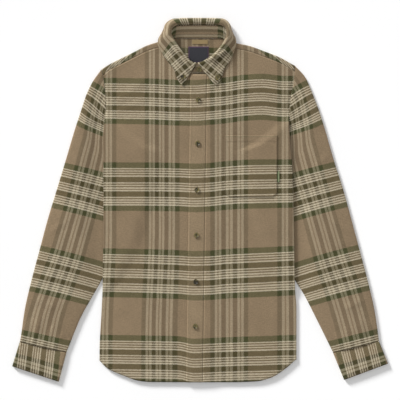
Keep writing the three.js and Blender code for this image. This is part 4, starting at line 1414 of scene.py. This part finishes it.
    def layers(self) -> tuple[Array, Array, Array, Array]:
        """Returns the upper and lower middle points, each ring's share across, and its place."""
        places, turn = self.armhole()
        run = climbed(places)
        share = run / run[-1]
        bow = places - mix(places[0], places[-1], share[:, None])
        at = np.linspace(0, 11.2, self.rings)
        rows = self.rows(at)
        rows[0, 0] += self.side * self.lay.armhole_gap
        out, inner, keep = rows[:, None, 0:2], rows[:, None, 2:4], rows[:, None, 4:5]
        flat = mix(out, inner, share[None, :, None]) + keep * bow[None]
        x, y = flat[..., 0], flat[..., 1]
        space, swell = self.height(x, y, share[None, :])
        end = bell(at[:, None], 0.12) * 0.9
        middle = self.lay.middle + space / 2
        top = np.stack([x, y, middle + (space / 2 + swell - end * (turn > 0.9)) * turn], -1)
        low = np.stack([x, y, middle - space / 2 * turn], -1)
        return top, low, share, at

    def dropped(self, x: Array, y: Array) -> Array:
        """Returns how far the weft bands hang below their even place, most at the armhole."""
        outer = self.rows(np.linspace(0, 11, 45))[::-1, :2]
        edge = np.interp(y, outer[:, 1], outer[:, 0])
        share = np.clip((edge - x) / (edge - self.lay.edge(self.side, y)), 0, 1)
        return share * self.drop(y)[..., 0 if self.side < 0 else 1]

    def build(self, finish: Finishes) -> None:
        """Makes the sleeve, its cloth seamed along the inner edge."""
        top, low, share, at = self.layers()
        ring = np.concatenate([low[:, ::-1], top[:, 1:-1]], 1)
        width = np.linalg.norm(top[:, -1, :2] - top[:, 0, :2], axis=1)[:, None]
        middle = self.stripe(at)[:, 0 if self.side < 0 else 1, None]
        above = climbed(top[::-1, :, :2])[::-1]
        cut = width * self.crowding(at)[:, None]
        across = self.sett.warp_middle() + cut * (share[None, :] - middle)
        across_low = self.sett.warp_middle() + cut * (-share[None, :] - middle)
        along = 28.7 - above
        upper = np.stack([across, along - self.dropped(top[..., 0], top[..., 1])], -1)
        lower = np.stack([across_low, along], -1)
        threads = np.concatenate([lower[:, ::-1], upper[:, 1:]], 1)
        name = "left" if self.side < 0 else "right"
        if self.side < 0:
            ring, threads = ring[::-1], threads[::-1]
        piece = make_shell(f"sleeve_{name}_cloth", ring, self.lay.cloth, threads, around=True)
        dress(piece, finish.sleeve, "sleeve_flannel", f"sleeve_{name}")


@dataclass
class Cuff:
    """One barrel cuff, a flat tube of interlined cloth."""

    lay: Layout
    sett: Sett
    side: int
    thickness: float = 2.2
    space: float = 4.6
    swell: float = 0.5
    height: float = 57.0
    width: float = 105.0
    rows: int = 20
    columns: int = 28
    cloth_width: float = 106.0  # of each layer, measured in the cloth
    # Share of the width before the first cream band, at the seam and at the lower edge
    band_on_left: tuple[float, float] = (0.085, 0.18)
    band_on_right: tuple[float, float] = (0.16, 0.236)
    edge_warp: float = 49.0  # place across the warp at the lower edge
    warp_height: float = 63.0  # how much more that is at the seam

    def corners(self) -> tuple[Array, Array]:
        """Returns the outer and inner ends of the seam and of the lower edge."""
        if self.side < 0:
            seam = [[-404.3, -319.5], [-301.3, -342.7]]
            edge = [[-421.2, -374], [-318.4, -408.2]]
        else:
            seam = [[401.6, -317.9], [300.2, -343.4]]
            edge = [[421.5, -368], [325, -404]]
        return np.array(seam), np.array(edge)

    def layers(self) -> tuple[Array, Array, Array, Array]:
        """Returns the upper and lower middle points, and each point's share across and down."""
        top, end = self.corners()
        down = np.concatenate([[0], np.linspace(0.04, 1, self.rows)])[:, None, None]
        down = down + (down == 0) * self.lay.armhole_gap / self.height
        radius = self.space / 2 / self.width
        turn = np.linspace(0, math.pi / 2, 5)
        fold = (1 - np.cos(turn)) * radius
        level = np.linspace(radius, 1 - radius, self.columns)[1:-1]
        across = np.concatenate([fold, level, 1 - fold[::-1]])
        lift = np.concatenate([np.sin(turn), np.ones(len(level)), np.sin(turn[::-1])])
        outer, inner = mix(top[0], end[0], down), mix(top[1], end[1], down)
        flat = mix(outer, inner, across[None, :, None])
        middle = self.thickness / 2 + self.space / 2
        part = down[..., 0]
        crown = self.swell * np.sin(math.pi * across)[None, :]
        ridge = 0.35 * bell(part - 0.5, 0.35)
        ridge = ridge - 0.3 * bell(part - 0.08, 0.05) - 0.3 * bell(part - 0.93, 0.04)
        upper = middle + lift * (self.space / 2 + crown + ridge)
        under = np.broadcast_to(middle - lift * (self.space / 2), upper.shape)
        rise = [np.concatenate([flat, z[..., None]], -1) for z in (upper, under)]
        return rise[0], rise[1], across, down[:, 0, 0]

    def build(self, finish: Finishes) -> None:
        """Makes the cuff, with the cloth's weft along the sleeve."""
        top, low, across, down = self.layers()
        ring = np.concatenate([low[:, ::-1], top[:, 1:-1]], 1)
        start = mix(*(self.band_on_left if self.side < 0 else self.band_on_right), down)
        first_band = self.sett.bar + self.sett.band / 2
        upper = first_band + (across[None, :] - start[:, None]) * self.cloth_width
        lower = first_band + (-across[None, :] - start[:, None]) * self.cloth_width
        warp = self.edge_warp + (1 - down) * self.warp_height
        up = np.broadcast_to(warp[:, None], upper.shape)
        threads = np.concatenate(
            [np.stack([up, lower], -1)[:, ::-1], np.stack([up, upper], -1)[:, 1:]], 1
        )
        name = "left" if self.side < 0 else "right"
        piece = make_shell(f"cuff_{name}_cloth", ring, self.thickness, threads, around=True)
        dress(piece, finish.trim, "band_flannel", f"cuff_{name}")

    def stitch_lines(self) -> list[Array]:
        """Returns the lines of stitches near the seam and the lower edge."""
        top, _, _, _ = self.layers()
        lines = []
        for row in (2, self.rows - 1):
            line = top[row, 4:-4].copy()
            line[:, 2] += self.thickness / 2 + 0.1
            lines.append(line)
        return lines


# Collar

LEAF_SAMPLES = 14  # points on each stretch of one rib's curve


@dataclass
class Collar:
    """The stand round the neck and the leaf that turns down over it."""

    lay: Layout
    sett: Sett
    thickness: float = 1.8
    steps: int = 9  # ribs made between two rows of the table
    seam_drop: float = 3.0
    stand_clear: float = 2.3
    under_lap: float = 2.2
    neck_crowding: float = 0.94  # millimetres of cloth to each one of the leaf, round the neck
    crowding: float = 1.04  # the same along the points
    lip_warp: float = 8.0  # place across the warp where the leaf rolls over the stand
    back_shift: float = 6.0  # how much less that is at the back of the neck
    point_way: tuple[float, float] = (0.636, 0.771)  # how much a point runs across and down
    bar_warp: float = 29.4  # middle of the dark warp bar that runs down each point
    # x and y where that bar crosses a weft bar on each point, and the weft bar's place
    bar_on_left: tuple[float, float, float] = (-52.4, 321.1, -125.5)
    bar_on_right: tuple[float, float, float] = (24.8, 292.5, 262.3)
    # Down the inside of the stand: how far from its top, and the place across the warp
    stand_lines: tuple[tuple[float, float], ...] = (
        (0, 65.3), (8.2, 73.5), (14, 83.2), (19.2, 88), (19.5, 5), (20.3, 5), (20.6, 10),
        (25.6, 15), (25.9, 4), (32, 6),
    )
    # The sharp fold across the right point, a ridge beside a trough
    fold_place: tuple[float, float] = (47.7, 322.5)
    fold_turn: float = 30.4  # direction in degrees from +X
    fold_reach: float = 30.0  # from its middle to each end
    fold_ridge: tuple[float, float, float] = (2.86, 4.6, 4.0)  # height, place across it and width
    fold_trough: tuple[float, float, float] = (3.64, -1.0, 2.3)  # depth, place across and width
    # From the front round to the back: seam x left and right, seam y, crest; roll x, x, y, z;
    # edge x, x, y, z (0 where it rests on a front); base z, x, x, y
    table: tuple[tuple[float, ...], ...] = (
        (-8, -5, 307.5, 14, -12, -1, 301, 13.2, -39.2, 34.9, 256, 0, 6, 12, -21, 286),
        (-20, 5, 310.5, 15.5, -25, 11, 305, 14.4, -51, 47, 271.5, 0, 6, -21, 14, 291),
        (-37.8, 34, 330, 17.5, -44, 40, 325, 16, -58, 54, 292, 0, 6.2, -43, 34, 307),
        (-55.6, 54, 356, 19, -63, 61, 351, 17, -75, 68.5, 315, 0, 6.6, -60, 52, 327),
        (-64, 60, 373, 19, -78, 70, 370, 15, -94.5, 81, 350, 0, 6.4, -72, 64.5, 349),
        (-62, 57, 385, 17, -78.5, 68, 390, 10, -91, 78, 366, 1.4, 4.4, -66, 59, 360),
        (-46, 42, 393, 15, -57, 50, 407, 7.6, -62, 54, 366.5, 1.0, 2.4, -48, 42, 364),
        (-3, -3, 394, 14, -3, -3, 408.5, 7.4, -3, -3, 366.5, 1.0, 2.4, -3, -3, 364),
    )

    def __post_init__(self) -> None:
        """Joins the left and right halves of the table into one run of ribs."""
        lay = self.lay

        def row(given: tuple[float, ...], right: bool) -> list[float]:
            """Returns seam, crest, roll, edge and base of one rib."""
            pick = 1 if right else 0
            edge_x, edge_y, edge_z = given[8 + pick], given[10], given[11]
            if edge_z == 0:
                side = -1 if edge_x < lay.placket_x(edge_y) else 1
                rest = lay.cloth / 2 + lay.gap + 0.2 + self.thickness / 2
                edge_z = float(lay.front(side, np.array(edge_x), np.array(edge_y))) + rest
            return [given[pick], given[2], given[3], given[4 + pick], given[6], given[7],
                    edge_x, edge_y, edge_z, given[13 + pick], given[15], given[12]]

        rows = [row(given, False) for given in self.table]
        rows += [row(given, True) for given in self.table[-2::-1]]
        self.last = len(rows) - 1
        self.ribs = Profile(*[(k, *values) for k, values in enumerate(rows)])

    def leaf_curve(self, place: float) -> Array:
        """Returns closely spaced points along one rib of the leaf, from its seam to its edge."""
        value = self.ribs(place)
        seam = np.array([value[0], value[1], value[2] - self.seam_drop])
        out, edge = value[3:6], value[6:9]
        crest = mix(seam, out, 0.4)
        crest[2] = value[2]
        turn = mix(out, edge, 0.25)
        turn[2] = mix(out[2], edge[2], 0.85 if out[2] < 12 else 0.35)
        return centripetal([seam, crest, out, turn, edge], LEAF_SAMPLES)

    def leaf_points(self, place: float, shares: Array) -> Array:
        """Returns points at some shares of one rib's length."""
        curve = self.leaf_curve(place)
        run = climbed(curve)
        return np.stack([np.interp(shares * run[-1], run, curve[:, k]) for k in range(3)], -1)

    def stand_points(self, place: float, shares: Array) -> Array:
        """Returns points at some shares of the stand's height, from its base up."""
        value = self.ribs(place)
        base = np.array([value[9], value[10], value[11]])
        top = self.leaf_points(place, np.array([0.0]))[0]
        reach = 1 - self.stand_clear / np.linalg.norm(top - base)
        points = mix(base, top, (shares * reach)[:, None])
        points[:, 2] -= self.under_lap * (1 - ease(0.3, 1.6, place))
        return points

    def places(self) -> Array:
        """Returns the places of the ribs, from the left front round to the right."""
        return np.linspace(0, self.last, self.last * self.steps + 1)

    def leaf_grid(self) -> Array:
        """Returns the leaf's middle points, rows from its edge to its seam."""
        shares = np.linspace(0, 1, 34)
        ribs = np.stack([self.leaf_points(place, shares) for place in self.places()], 1)
        return ribs[::-1]

    def stand_grid(self) -> Array:
        """Returns the stand's middle points, rows from its top to its base."""
        shares = np.linspace(0, 1, 48)
        ribs = np.stack([self.stand_points(place, shares) for place in self.places()], 1)
        return ribs[::-1]

    def along(self, line: Array) -> Array:
        """Returns the place across the weft bands, centred on a group at the back."""
        run = climbed(line)
        middle = np.interp(self.last / 2, self.places(), run)
        group = 4 * self.sett.bar + 3 * self.sett.band
        return (run - middle) * self.neck_crowding + group / 2 + 4

    def leaf_threads(self, leaf: Array) -> Array:
        """Returns the leaf's places in the cloth.

        On each point the weft bars cross the leaf square to its length. Round the neck they cross
        the roll, and the warp follows it.

        Args:
            leaf: The leaf's middle points, rows from its edge to its seam.
        """
        places = self.places()
        from_tip = np.minimum(places, self.last - places)
        side = np.where(places < self.last / 2, -1.0, 1.0)
        height = climbed(leaf)
        crest_run = []
        for place in places:
            curve = self.leaf_curve(place)
            crest_run.append(np.linalg.norm(np.diff(curve[:LEAF_SAMPLES + 1], axis=0), axis=1).sum())
        crest = height[-1] - np.array(crest_run)
        lip = self.lip_warp - self.back_shift * ease(4.8, 6.2, from_tip)
        round_neck = np.stack([
            lip + crest - height, np.broadcast_to(self.along(leaf[16]), height.shape)
        ], -1)
        to_tip = np.stack([-side * self.point_way[0], np.full(len(side), -self.point_way[1])], -1)
        outward = np.stack([side * self.point_way[1], np.full(len(side), -self.point_way[0])], -1)
        spot = np.where(side[:, None] < 0, self.bar_on_left[:2], self.bar_on_right[:2])
        bar = np.where(side < 0, self.bar_on_left[2], self.bar_on_right[2])
        rib = leaf[4, :, :2] - leaf[20, :, :2]
        rib = rib / np.linalg.norm(rib, axis=-1, keepdims=True)
        away = leaf[12, :, :2] - spot
        reach = height[12] - height
        across = self.bar_warp + (away * outward).sum(-1) + reach * (rib * outward).sum(-1)
        down = bar + side * ((away * to_tip).sum(-1) + reach * (rib * to_tip).sum(-1)) * self.crowding
        share = ease(2.8, 4.8, from_tip)[None, :, None]
        return mix(np.stack([across, down], -1), round_neck, share)

    def build(self, finish: Finishes) -> None:
        """Makes the leaf and the stand."""
        leaf = self.leaf_grid()
        threads = self.leaf_threads(leaf)
        piece = make_shell("collar_leaf_cloth", self.creased(leaf), self.thickness, threads)
        dress(piece, finish.trim, "band_flannel", "collar_leaf")
        stand = self.stand_grid()
        height = climbed(stand)
        group = 4 * self.sett.bar + 3 * self.sett.band
        bands = self.along(stand[9]) + group / 2 + self.sett.weft_tan / 2
        bands = np.broadcast_to(bands[None], height.shape)
        levels, lines = zip(*self.stand_lines)
        threads = np.stack([np.interp(height, levels, lines), bands], -1)
        piece = make_shell("collar_stand_cloth", stand, self.thickness, threads)
        dress(piece, finish.trim, "band_flannel", "collar_stand")

    def creased(self, leaf: Array) -> Array:
        """Returns the leaf with the one sharp fold across its right point."""
        x, y = leaf[..., 0] - self.fold_place[0], leaf[..., 1] - self.fold_place[1]
        turn = math.radians(self.fold_turn)
        along = x * math.cos(turn) + y * math.sin(turn)
        across = y * math.cos(turn) - x * math.sin(turn)
        end = 1 - ease(0.6 * self.fold_reach, self.fold_reach, np.abs(along))
        height, place, width = self.fold_ridge
        ridge = height * bell(across - place, width)
        depth, place, width = self.fold_trough
        trough = depth * bell(across - place, width)
        lifted = leaf.copy()
        lifted[..., 2] += end * (ridge - trough)
        return lifted

    def stitch_lines(self) -> list[Array]:
        """Returns the line of stitches a few millimetres inside the leaf's edge."""
        leaf = self.leaf_grid()
        outer, inner = walled(leaf, self.thickness + 0.2, False)
        top = outer if outer[5, 20, 2] > inner[5, 20, 2] else inner
        return [np.concatenate([top[14:2:-1, 2], top[2, 3:-3], top[2:14, -3]])]


def centripetal(points: Sequence[Array], count: int) -> Array:
    """Samples a centripetal Catmull-Rom curve through some points.

    Args:
        points: The points that it passes through.
        count: Samples on each stretch.

    Returns:
        The samples, the last point included.
    """
    given = [2 * points[0] - points[1], *points, 2 * points[-1] - points[-2]]
    samples = []
    for k in range(len(points) - 1):
        before, start, stop, after = given[k:k + 4]
        pairs = ((before, start), (start, stop), (stop, after))
        near, here, far = (np.linalg.norm(b - a) ** 0.5 for a, b in pairs)
        middle = (stop - start) / here
        first = (start - before) / near - (stop - before) / (near + here) + middle
        second = middle - (after - start) / (here + far) + (after - stop) / far
        first, second = first * here, second * here
        for n in range(count):
            t = n / count
            cube = 2 * start - 2 * stop + first + second
            square = -3 * start + 3 * stop - 2 * first - second
            samples.append(start + first * t + square * t * t + cube * t ** 3)
    samples.append(np.array(points[-1]))
    return np.array(samples)


# Buttons


@dataclass
class Buttons:
    """Four-hole horn buttons with their thread."""

    lay: Layout
    collar: Collar
    radius: float = 5.65
    thickness: float = 2.4
    rim: float = 1.1
    dish: float = 0.6
    chamfer: float = 0.6
    hole_radius: float = 0.75
    hole_reach: float = 1.5  # of a hole's middle from the button's
    band_thickness: float = 2.0  # of the placket under them
    clear: float = 0.3  # between a button and the buttonhole's stitches
    placket_heights: tuple[float, ...] = (225, 127, 22.5, -79, -183.4, -283.5)

    def disc(self) -> bpy.types.Mesh:
        """Returns a turned disc with four holes, its base at z = 0, in metres."""
        r, t = self.radius, self.thickness
        deck = t - self.dish
        profile = [
            (0, 0), (r - self.chamfer, 0), (r - 0.18, 0.18), (r, self.chamfer), (r, t - self.chamfer),
            (r - 0.18, t - 0.18), (r - self.chamfer, t), (r - self.rim, t - 0.05),
            (r - self.rim - self.chamfer, deck + 0.1), (r * 0.6, deck - 0.05), (0, deck),
        ]
        sides = 40
        points, faces = [(0.0, 0.0, 0.0)], []
        for radius, z in profile[1:-1]:
            turn = np.linspace(0, math.tau, sides, endpoint=False)
            points += [(radius * math.cos(a), radius * math.sin(a), z) for a in turn]
        points.append((0.0, 0.0, profile[-1][1]))
        rings = len(profile) - 2
        top = len(points) - 1
        for k in range(sides):
            n = (k + 1) % sides
            faces.append([0, 1 + n, 1 + k])
            for ring in range(rings - 1):
                a, b = 1 + ring * sides, 1 + (ring + 1) * sides
                faces.append([a + k, a + n, b + n, b + k])
            last = 1 + (rings - 1) * sides
            faces.append([last + k, last + n, top])
        mesh = bpy.data.meshes.new("button_blank")
        mesh.from_pydata((np.array(points) * MM).tolist(), [], faces)
        blank = placed("button_blank", mesh)
        drill = self.drill()
        cut = blank.modifiers.new("holes", "BOOLEAN")
        cut.operation = "DIFFERENCE"
        cut.solver = "EXACT"
        cut.object = drill
        bpy.context.view_layer.update()
        result = bpy.data.meshes.new_from_object(
            blank.evaluated_get(bpy.context.evaluated_depsgraph_get())
        )
        bpy.data.objects.remove(blank)
        bpy.data.objects.remove(drill)
        return result

    def hole_places(self) -> list[tuple[float, float]]:
        """Returns the middles of the four holes."""
        reach = self.hole_reach
        return [(x * reach, y * reach) for x in (-1, 1) for y in (-1, 1)]

    def drill(self) -> bpy.types.Object:
        """Returns four closed rods that stand where the holes are."""
        sides = 12
        points, faces = [], []
        for x0, y0 in self.hole_places():
            base = len(points)
            for z in (-1.0, self.thickness + 1):
                turn = np.linspace(0, math.tau, sides, endpoint=False)
                points += [(x0 + self.hole_radius * math.cos(a), y0 + self.hole_radius * math.sin(a), z)
                           for a in turn]
            faces.append([base + k for k in reversed(range(sides))])
            faces.append([base + sides + k for k in range(sides)])
            for k in range(sides):
                n = (k + 1) % sides
                faces.append([base + k, base + n, base + sides + n, base + sides + k])
        mesh = bpy.data.meshes.new("drill")
        mesh.from_pydata((np.array(points) * MM).tolist(), [], faces)
        return placed("drill", mesh)

    def thread_loops(self) -> tuple[Array, Array]:
        """Returns points and faces of the strands that cross between the holes."""
        points, faces = [], []
        sides, steps, radius = 6, 9, 0.28
        reach, deck = self.hole_reach, self.thickness - self.dish
        for row in (-1, 1):
            for strand in (-1, 0, 1):
                base = len(points)
                for k in range(steps):
                    part = k / (steps - 1)
                    x = mix(-reach, reach, part)
                    z = deck - 1.4 + 1.75 * math.sin(math.pi * part) ** 0.35
                    y = row * reach + strand * 0.42
                    for n in range(sides):
                        angle = math.tau * n / sides
                        points.append((x, y + radius * math.cos(angle), z + radius * math.sin(angle)))
                for k in range(steps - 1):
                    for n in range(sides):
                        m = (n + 1) % sides
                        a, b = base + k * sides, base + (k + 1) * sides
                        faces.append([a + n, b + n, b + m, a + m])
                faces.append([base + n for n in range(sides)])
                faces.append([base + (steps - 1) * sides + n for n in reversed(range(sides))])
        return np.array(points), faces

    def spots(self) -> dict[str, tuple[Array, Array]]:
        """Returns each button's node name, with the middle of its base and its upward direction."""
        lay = self.lay
        spots = {}
        for k, y in enumerate(self.placket_heights):
            x = float(lay.placket_x(y))
            front = float(lay.front(-1, np.array(x), np.array(y)))
            z = front + lay.cloth / 2 + self.band_thickness + 2 * lay.gap + self.clear
            spots[f"placket_button_{k + 1}"] = (np.array([x, y, z]), np.array([0, 0, 1.0]))
        last = self.collar.last
        spots["stand_button"] = self.spot_on(self.collar.stand_points, last - 0.5, 0.3)
        spots["point_button_left"] = self.spot_on(self.collar.leaf_points, 0.55, 0.74)
        spots["point_button_right"] = self.spot_on(self.collar.leaf_points, last - 0.85, 0.86)
        return spots

    def spot_on(
        self, points: Callable[[float, Array], Array], place: float, share: float
    ) -> tuple[Array, Array]:
        """Returns a button's place and direction on the outside of a collar piece.

        Args:
            points: The piece's points, by rib and share of its length.
            place: The rib's place.
            share: How far along the rib, 0 to 1.
        """
        step = 0.05
        line = points(place, np.array([share - step, share, share + step]))
        beside = [points(place + way * step, np.array([share]))[0] for way in (1, -1)]
        out = np.cross(beside[0] - beside[1], line[2] - line[0])
        out /= np.linalg.norm(out)
        out = out if out[2] > 0 else -out
        return line[1] + out * (self.collar.thickness / 2 + 0.45), out

    def build(self, finish: Finishes) -> None:
        """Makes every button, its thread in the same mesh."""
        disc = self.disc()
        loops, strands = self.thread_loops()
        for k, (name, (place, up)) in enumerate(self.spots().items()):
            mesh = disc.copy()
            mesh.name = name + "_horn"
            turn = Vector((0, 0, 1)).rotation_difference(Vector(up)).to_matrix().to_4x4()
            spin = Matrix.Rotation(0.35 * math.sin(2.3 * k + 0.4), 4, "Z")
            move = Matrix.Translation(Vector(place * MM)) @ turn @ spin
            thread = bpy.data.meshes.new("strands")
            thread.from_pydata((loops * MM).tolist(), [], strands)
            mesh.transform(move)
            thread.transform(move)
            piece = placed(name + "_horn", mesh)
            join_meshes(piece, thread)
            dress(piece, finish.horn, "horn_button", name)
            piece.data.materials.append(finish.button_thread)
            mark_last(piece, len(strands))


def join_meshes(piece: bpy.types.Object, other: bpy.types.Mesh) -> None:
    """Adds the faces of another mesh after the piece's own."""
    points = [tuple(v.co) for v in piece.data.vertices]
    shift = len(points)
    points += [tuple(v.co) for v in other.vertices]
    faces = [list(p.vertices) for p in piece.data.polygons]
    faces += [[shift + n for n in p.vertices] for p in other.polygons]
    mesh = bpy.data.meshes.new(piece.name)
    mesh.from_pydata(points, [], faces)
    piece.data = mesh
    mesh.update()


def mark_last(piece: bpy.types.Object, count: int) -> None:
    """Gives the last faces of a piece its second material, and shades them smooth."""
    total = len(piece.data.polygons)
    for k in range(total - count, total):
        piece.data.polygons[k].material_index = 1
        piece.data.polygons[k].use_smooth = True


# Neck trims


@dataclass
class NeckTrims:
    """The bare neck label with a rounded lower edge, and the short tape above it."""

    lay: Layout
    label: tuple[float, float, float, float] = (-26.0, 19.5, 309.0, 345.0)
    tape: tuple[float, float, float, float] = (-18.0, 18.0, 350.5, 360.0)

    def strip(
        self, name: str, size: tuple[float, float, float, float], thickness: float, bulge: float
    ) -> bpy.types.Object:
        """Makes a flat strip on the yoke.

        Args:
            name: The piece's name.
            size: Its left, right, bottom and top.
            thickness: Its thickness.
            bulge: How far its lower edge curves down past its corners.
        """
        left, right, bottom, top = size
        x = np.linspace(left, right, 28)[None, :]
        part = (x - (left + right) / 2) / ((right - left) / 2)
        low = bottom + bulge * np.abs(part) ** 3
        y = mix(low, top, np.linspace(0, 1, 22)[:, None])
        x = np.broadcast_to(x, y.shape)
        z = self.lay.middle + self.lay.cloth / 2 + self.lay.gap + thickness / 2
        wave = 0.2 * np.sin(x / 7.0) * bell(y - bottom, 9)
        grid = np.stack([x, y, z + wave + 0.2], -1)
        middle = [(left + right) / 2, (bottom + top) / 2]
        return make_shell(name, grid, thickness, grid[..., :2] - middle)

    def build(self, finish: Finishes) -> None:
        """Makes the label and the tape."""
        label = self.strip("label_cloth", self.label, 0.6, 11)
        dress(label, finish.label, "label_weave", "neck_label")
        tape = self.strip("tape_cloth", self.tape, 0.9, 0)
        dress(tape, finish.tape, "khaki_tape", "loop_tape")


# Studio


@dataclass
class Studio:
    """A pale floor, soft light from the upper left, a faint fill from the right, and a camera."""

    lens: float = 150.0
    sensor: float = 36.0
    distance: float = 3.75
    floor_half: float = 6.0
    sky_power: float = 0.48
    # Height above the floor and turn to the left of straight up the picture, in degrees, then how
    # much light falls on the floor, softness in degrees, and whether it casts shadows
    lamps: tuple[tuple[str, float, float, float, float, bool], ...] = (
        ("window", 19.0, 40.0, 0.46, 13.0, True),
        ("reflector", 24.0, -80.0, 0.08, 30.0, False),
    )

    def floor(self) -> None:
        """Makes the floor, flat and almost white."""
        half = self.floor_half / MM
        corners = np.array([[-half, -half, 0], [half, -half, 0], [half, half, 0], [-half, half, 0]])
        piece = make_mesh("floor", corners, np.array([[0, 1, 2, 3]]))
        shade = Shading("floor_paint")
        place = shade.tree.nodes.new("ShaderNodeTexCoord").outputs["Object"]
        grain = shade.noise(place, 3, 2)
        tone = shade.blend(grain.outputs["Fac"], (0.97, 0.97, 0.97, 1), (1.0, 1.0, 1.0, 1))
        shade.join(tone, shade.shader.inputs["Base Color"])
        shade.settings(Roughness=0.9, Specular_IOR_Level=0.1)
        piece.data.materials.append(shade.material)

    def light(self) -> None:
        """Sets the sky and the soft lamps."""
        world = bpy.data.worlds.new("studio_sky")
        world.use_nodes = True
        sky = world.node_tree.nodes["Background"]
        sky.inputs["Color"].default_value = (1.0, 1.0, 1.0, 1)
        sky.inputs["Strength"].default_value = self.sky_power
        bpy.context.scene.world = world
        for name, above, turn, share, softness, shadows in self.lamps:
            height, side = math.radians(above), math.radians(turn)
            data = bpy.data.lights.new(name, "SUN")
            data.energy = share * math.pi / math.sin(height)
            data.angle = math.radians(softness)
            data.use_shadow = shadows
            lamp = placed(name, data)
            way = Vector((
                -math.sin(side) * math.cos(height), math.cos(side) * math.cos(height), math.sin(height)
            ))
            lamp.rotation_euler = way.to_track_quat("Z", "Y").to_euler()

    def camera(self) -> None:
        """Looks straight down on the middle of the shirt."""
        data = bpy.data.cameras.new("above")
        data.lens, data.sensor_width = self.lens, self.sensor
        data.clip_end = 100
        camera = placed("above", data)
        camera.location = (0, 0, self.distance)
        bpy.context.scene.camera = camera

    def build(self) -> None:
        """Makes the whole studio and sets plain colour management."""
        self.floor()
        self.light()
        self.camera()
        bpy.context.scene.view_settings.view_transform = "Standard"
        bpy.context.scene.view_settings.look = "None"


def sew_all(body: Body, placket: Placket, pocket: Pocket, cuffs: list[Cuff], collar: Collar,
            buttons: Buttons, finish: Finishes) -> None:
    """Sews every visible line of stitches.

    Args:
        body: The back and fronts.
        placket: The buttonhole band.
        pocket: The patch pocket.
        cuffs: Both cuffs.
        collar: The collar.
        buttons: The buttons, whose heights set the buttonholes.
        finish: The materials.
    """
    stitcher = Stitcher(finish.thread)
    stitcher.sew("body_stitches", body.stitch_lines(), StitchKind.TOPSTITCH)
    stitcher.sew("placket_stitches", placket.stitch_lines(), StitchKind.TOPSTITCH)
    stitcher.sew("pocket_stitches", pocket.stitch_lines(), StitchKind.EDGE)
    lines = [line for cuff in cuffs for line in cuff.stitch_lines()]
    stitcher.sew("cuff_stitches", lines, StitchKind.TOPSTITCH)
    stitcher.sew("collar_stitches", collar.stitch_lines(), StitchKind.EDGE)
    holes = placket.buttonholes(buttons.placket_heights)
    stitcher.sew("buttonholes", holes, StitchKind.BUTTONHOLE)


def main() -> None:
    """Builds the studio and every piece of the shirt."""
    logging.basicConfig(level=logging.INFO, format="%(name)s: %(message)s")
    lay, sett = Layout(), Sett()
    Studio().build()
    finish = Finishes.make()
    yoke = Yoke(lay)
    body = Body(lay, sett, yoke)
    placket = Placket(lay, sett, body)
    pocket = Pocket(lay, sett)
    collar = Collar(lay, sett)
    buttons = Buttons(lay, collar)
    sleeves = [Sleeve(lay, sett, side) for side in (-1, 1)]
    cuffs = [Cuff(lay, sett, side) for side in (-1, 1)]
    for part in (yoke, body, placket, pocket, *sleeves, *cuffs, collar, NeckTrims(lay), buttons):
        part.build(finish)
        log.info("built %s", type(part).__name__.lower())
    sew_all(body, placket, pocket, cuffs, collar, buttons, finish)
    total = sum(len(o.data.polygons) for o in bpy.data.objects if o.type == "MESH")
    log.info("sewn; %d faces in the scene", total)


if __name__ == "__main__":
    main()
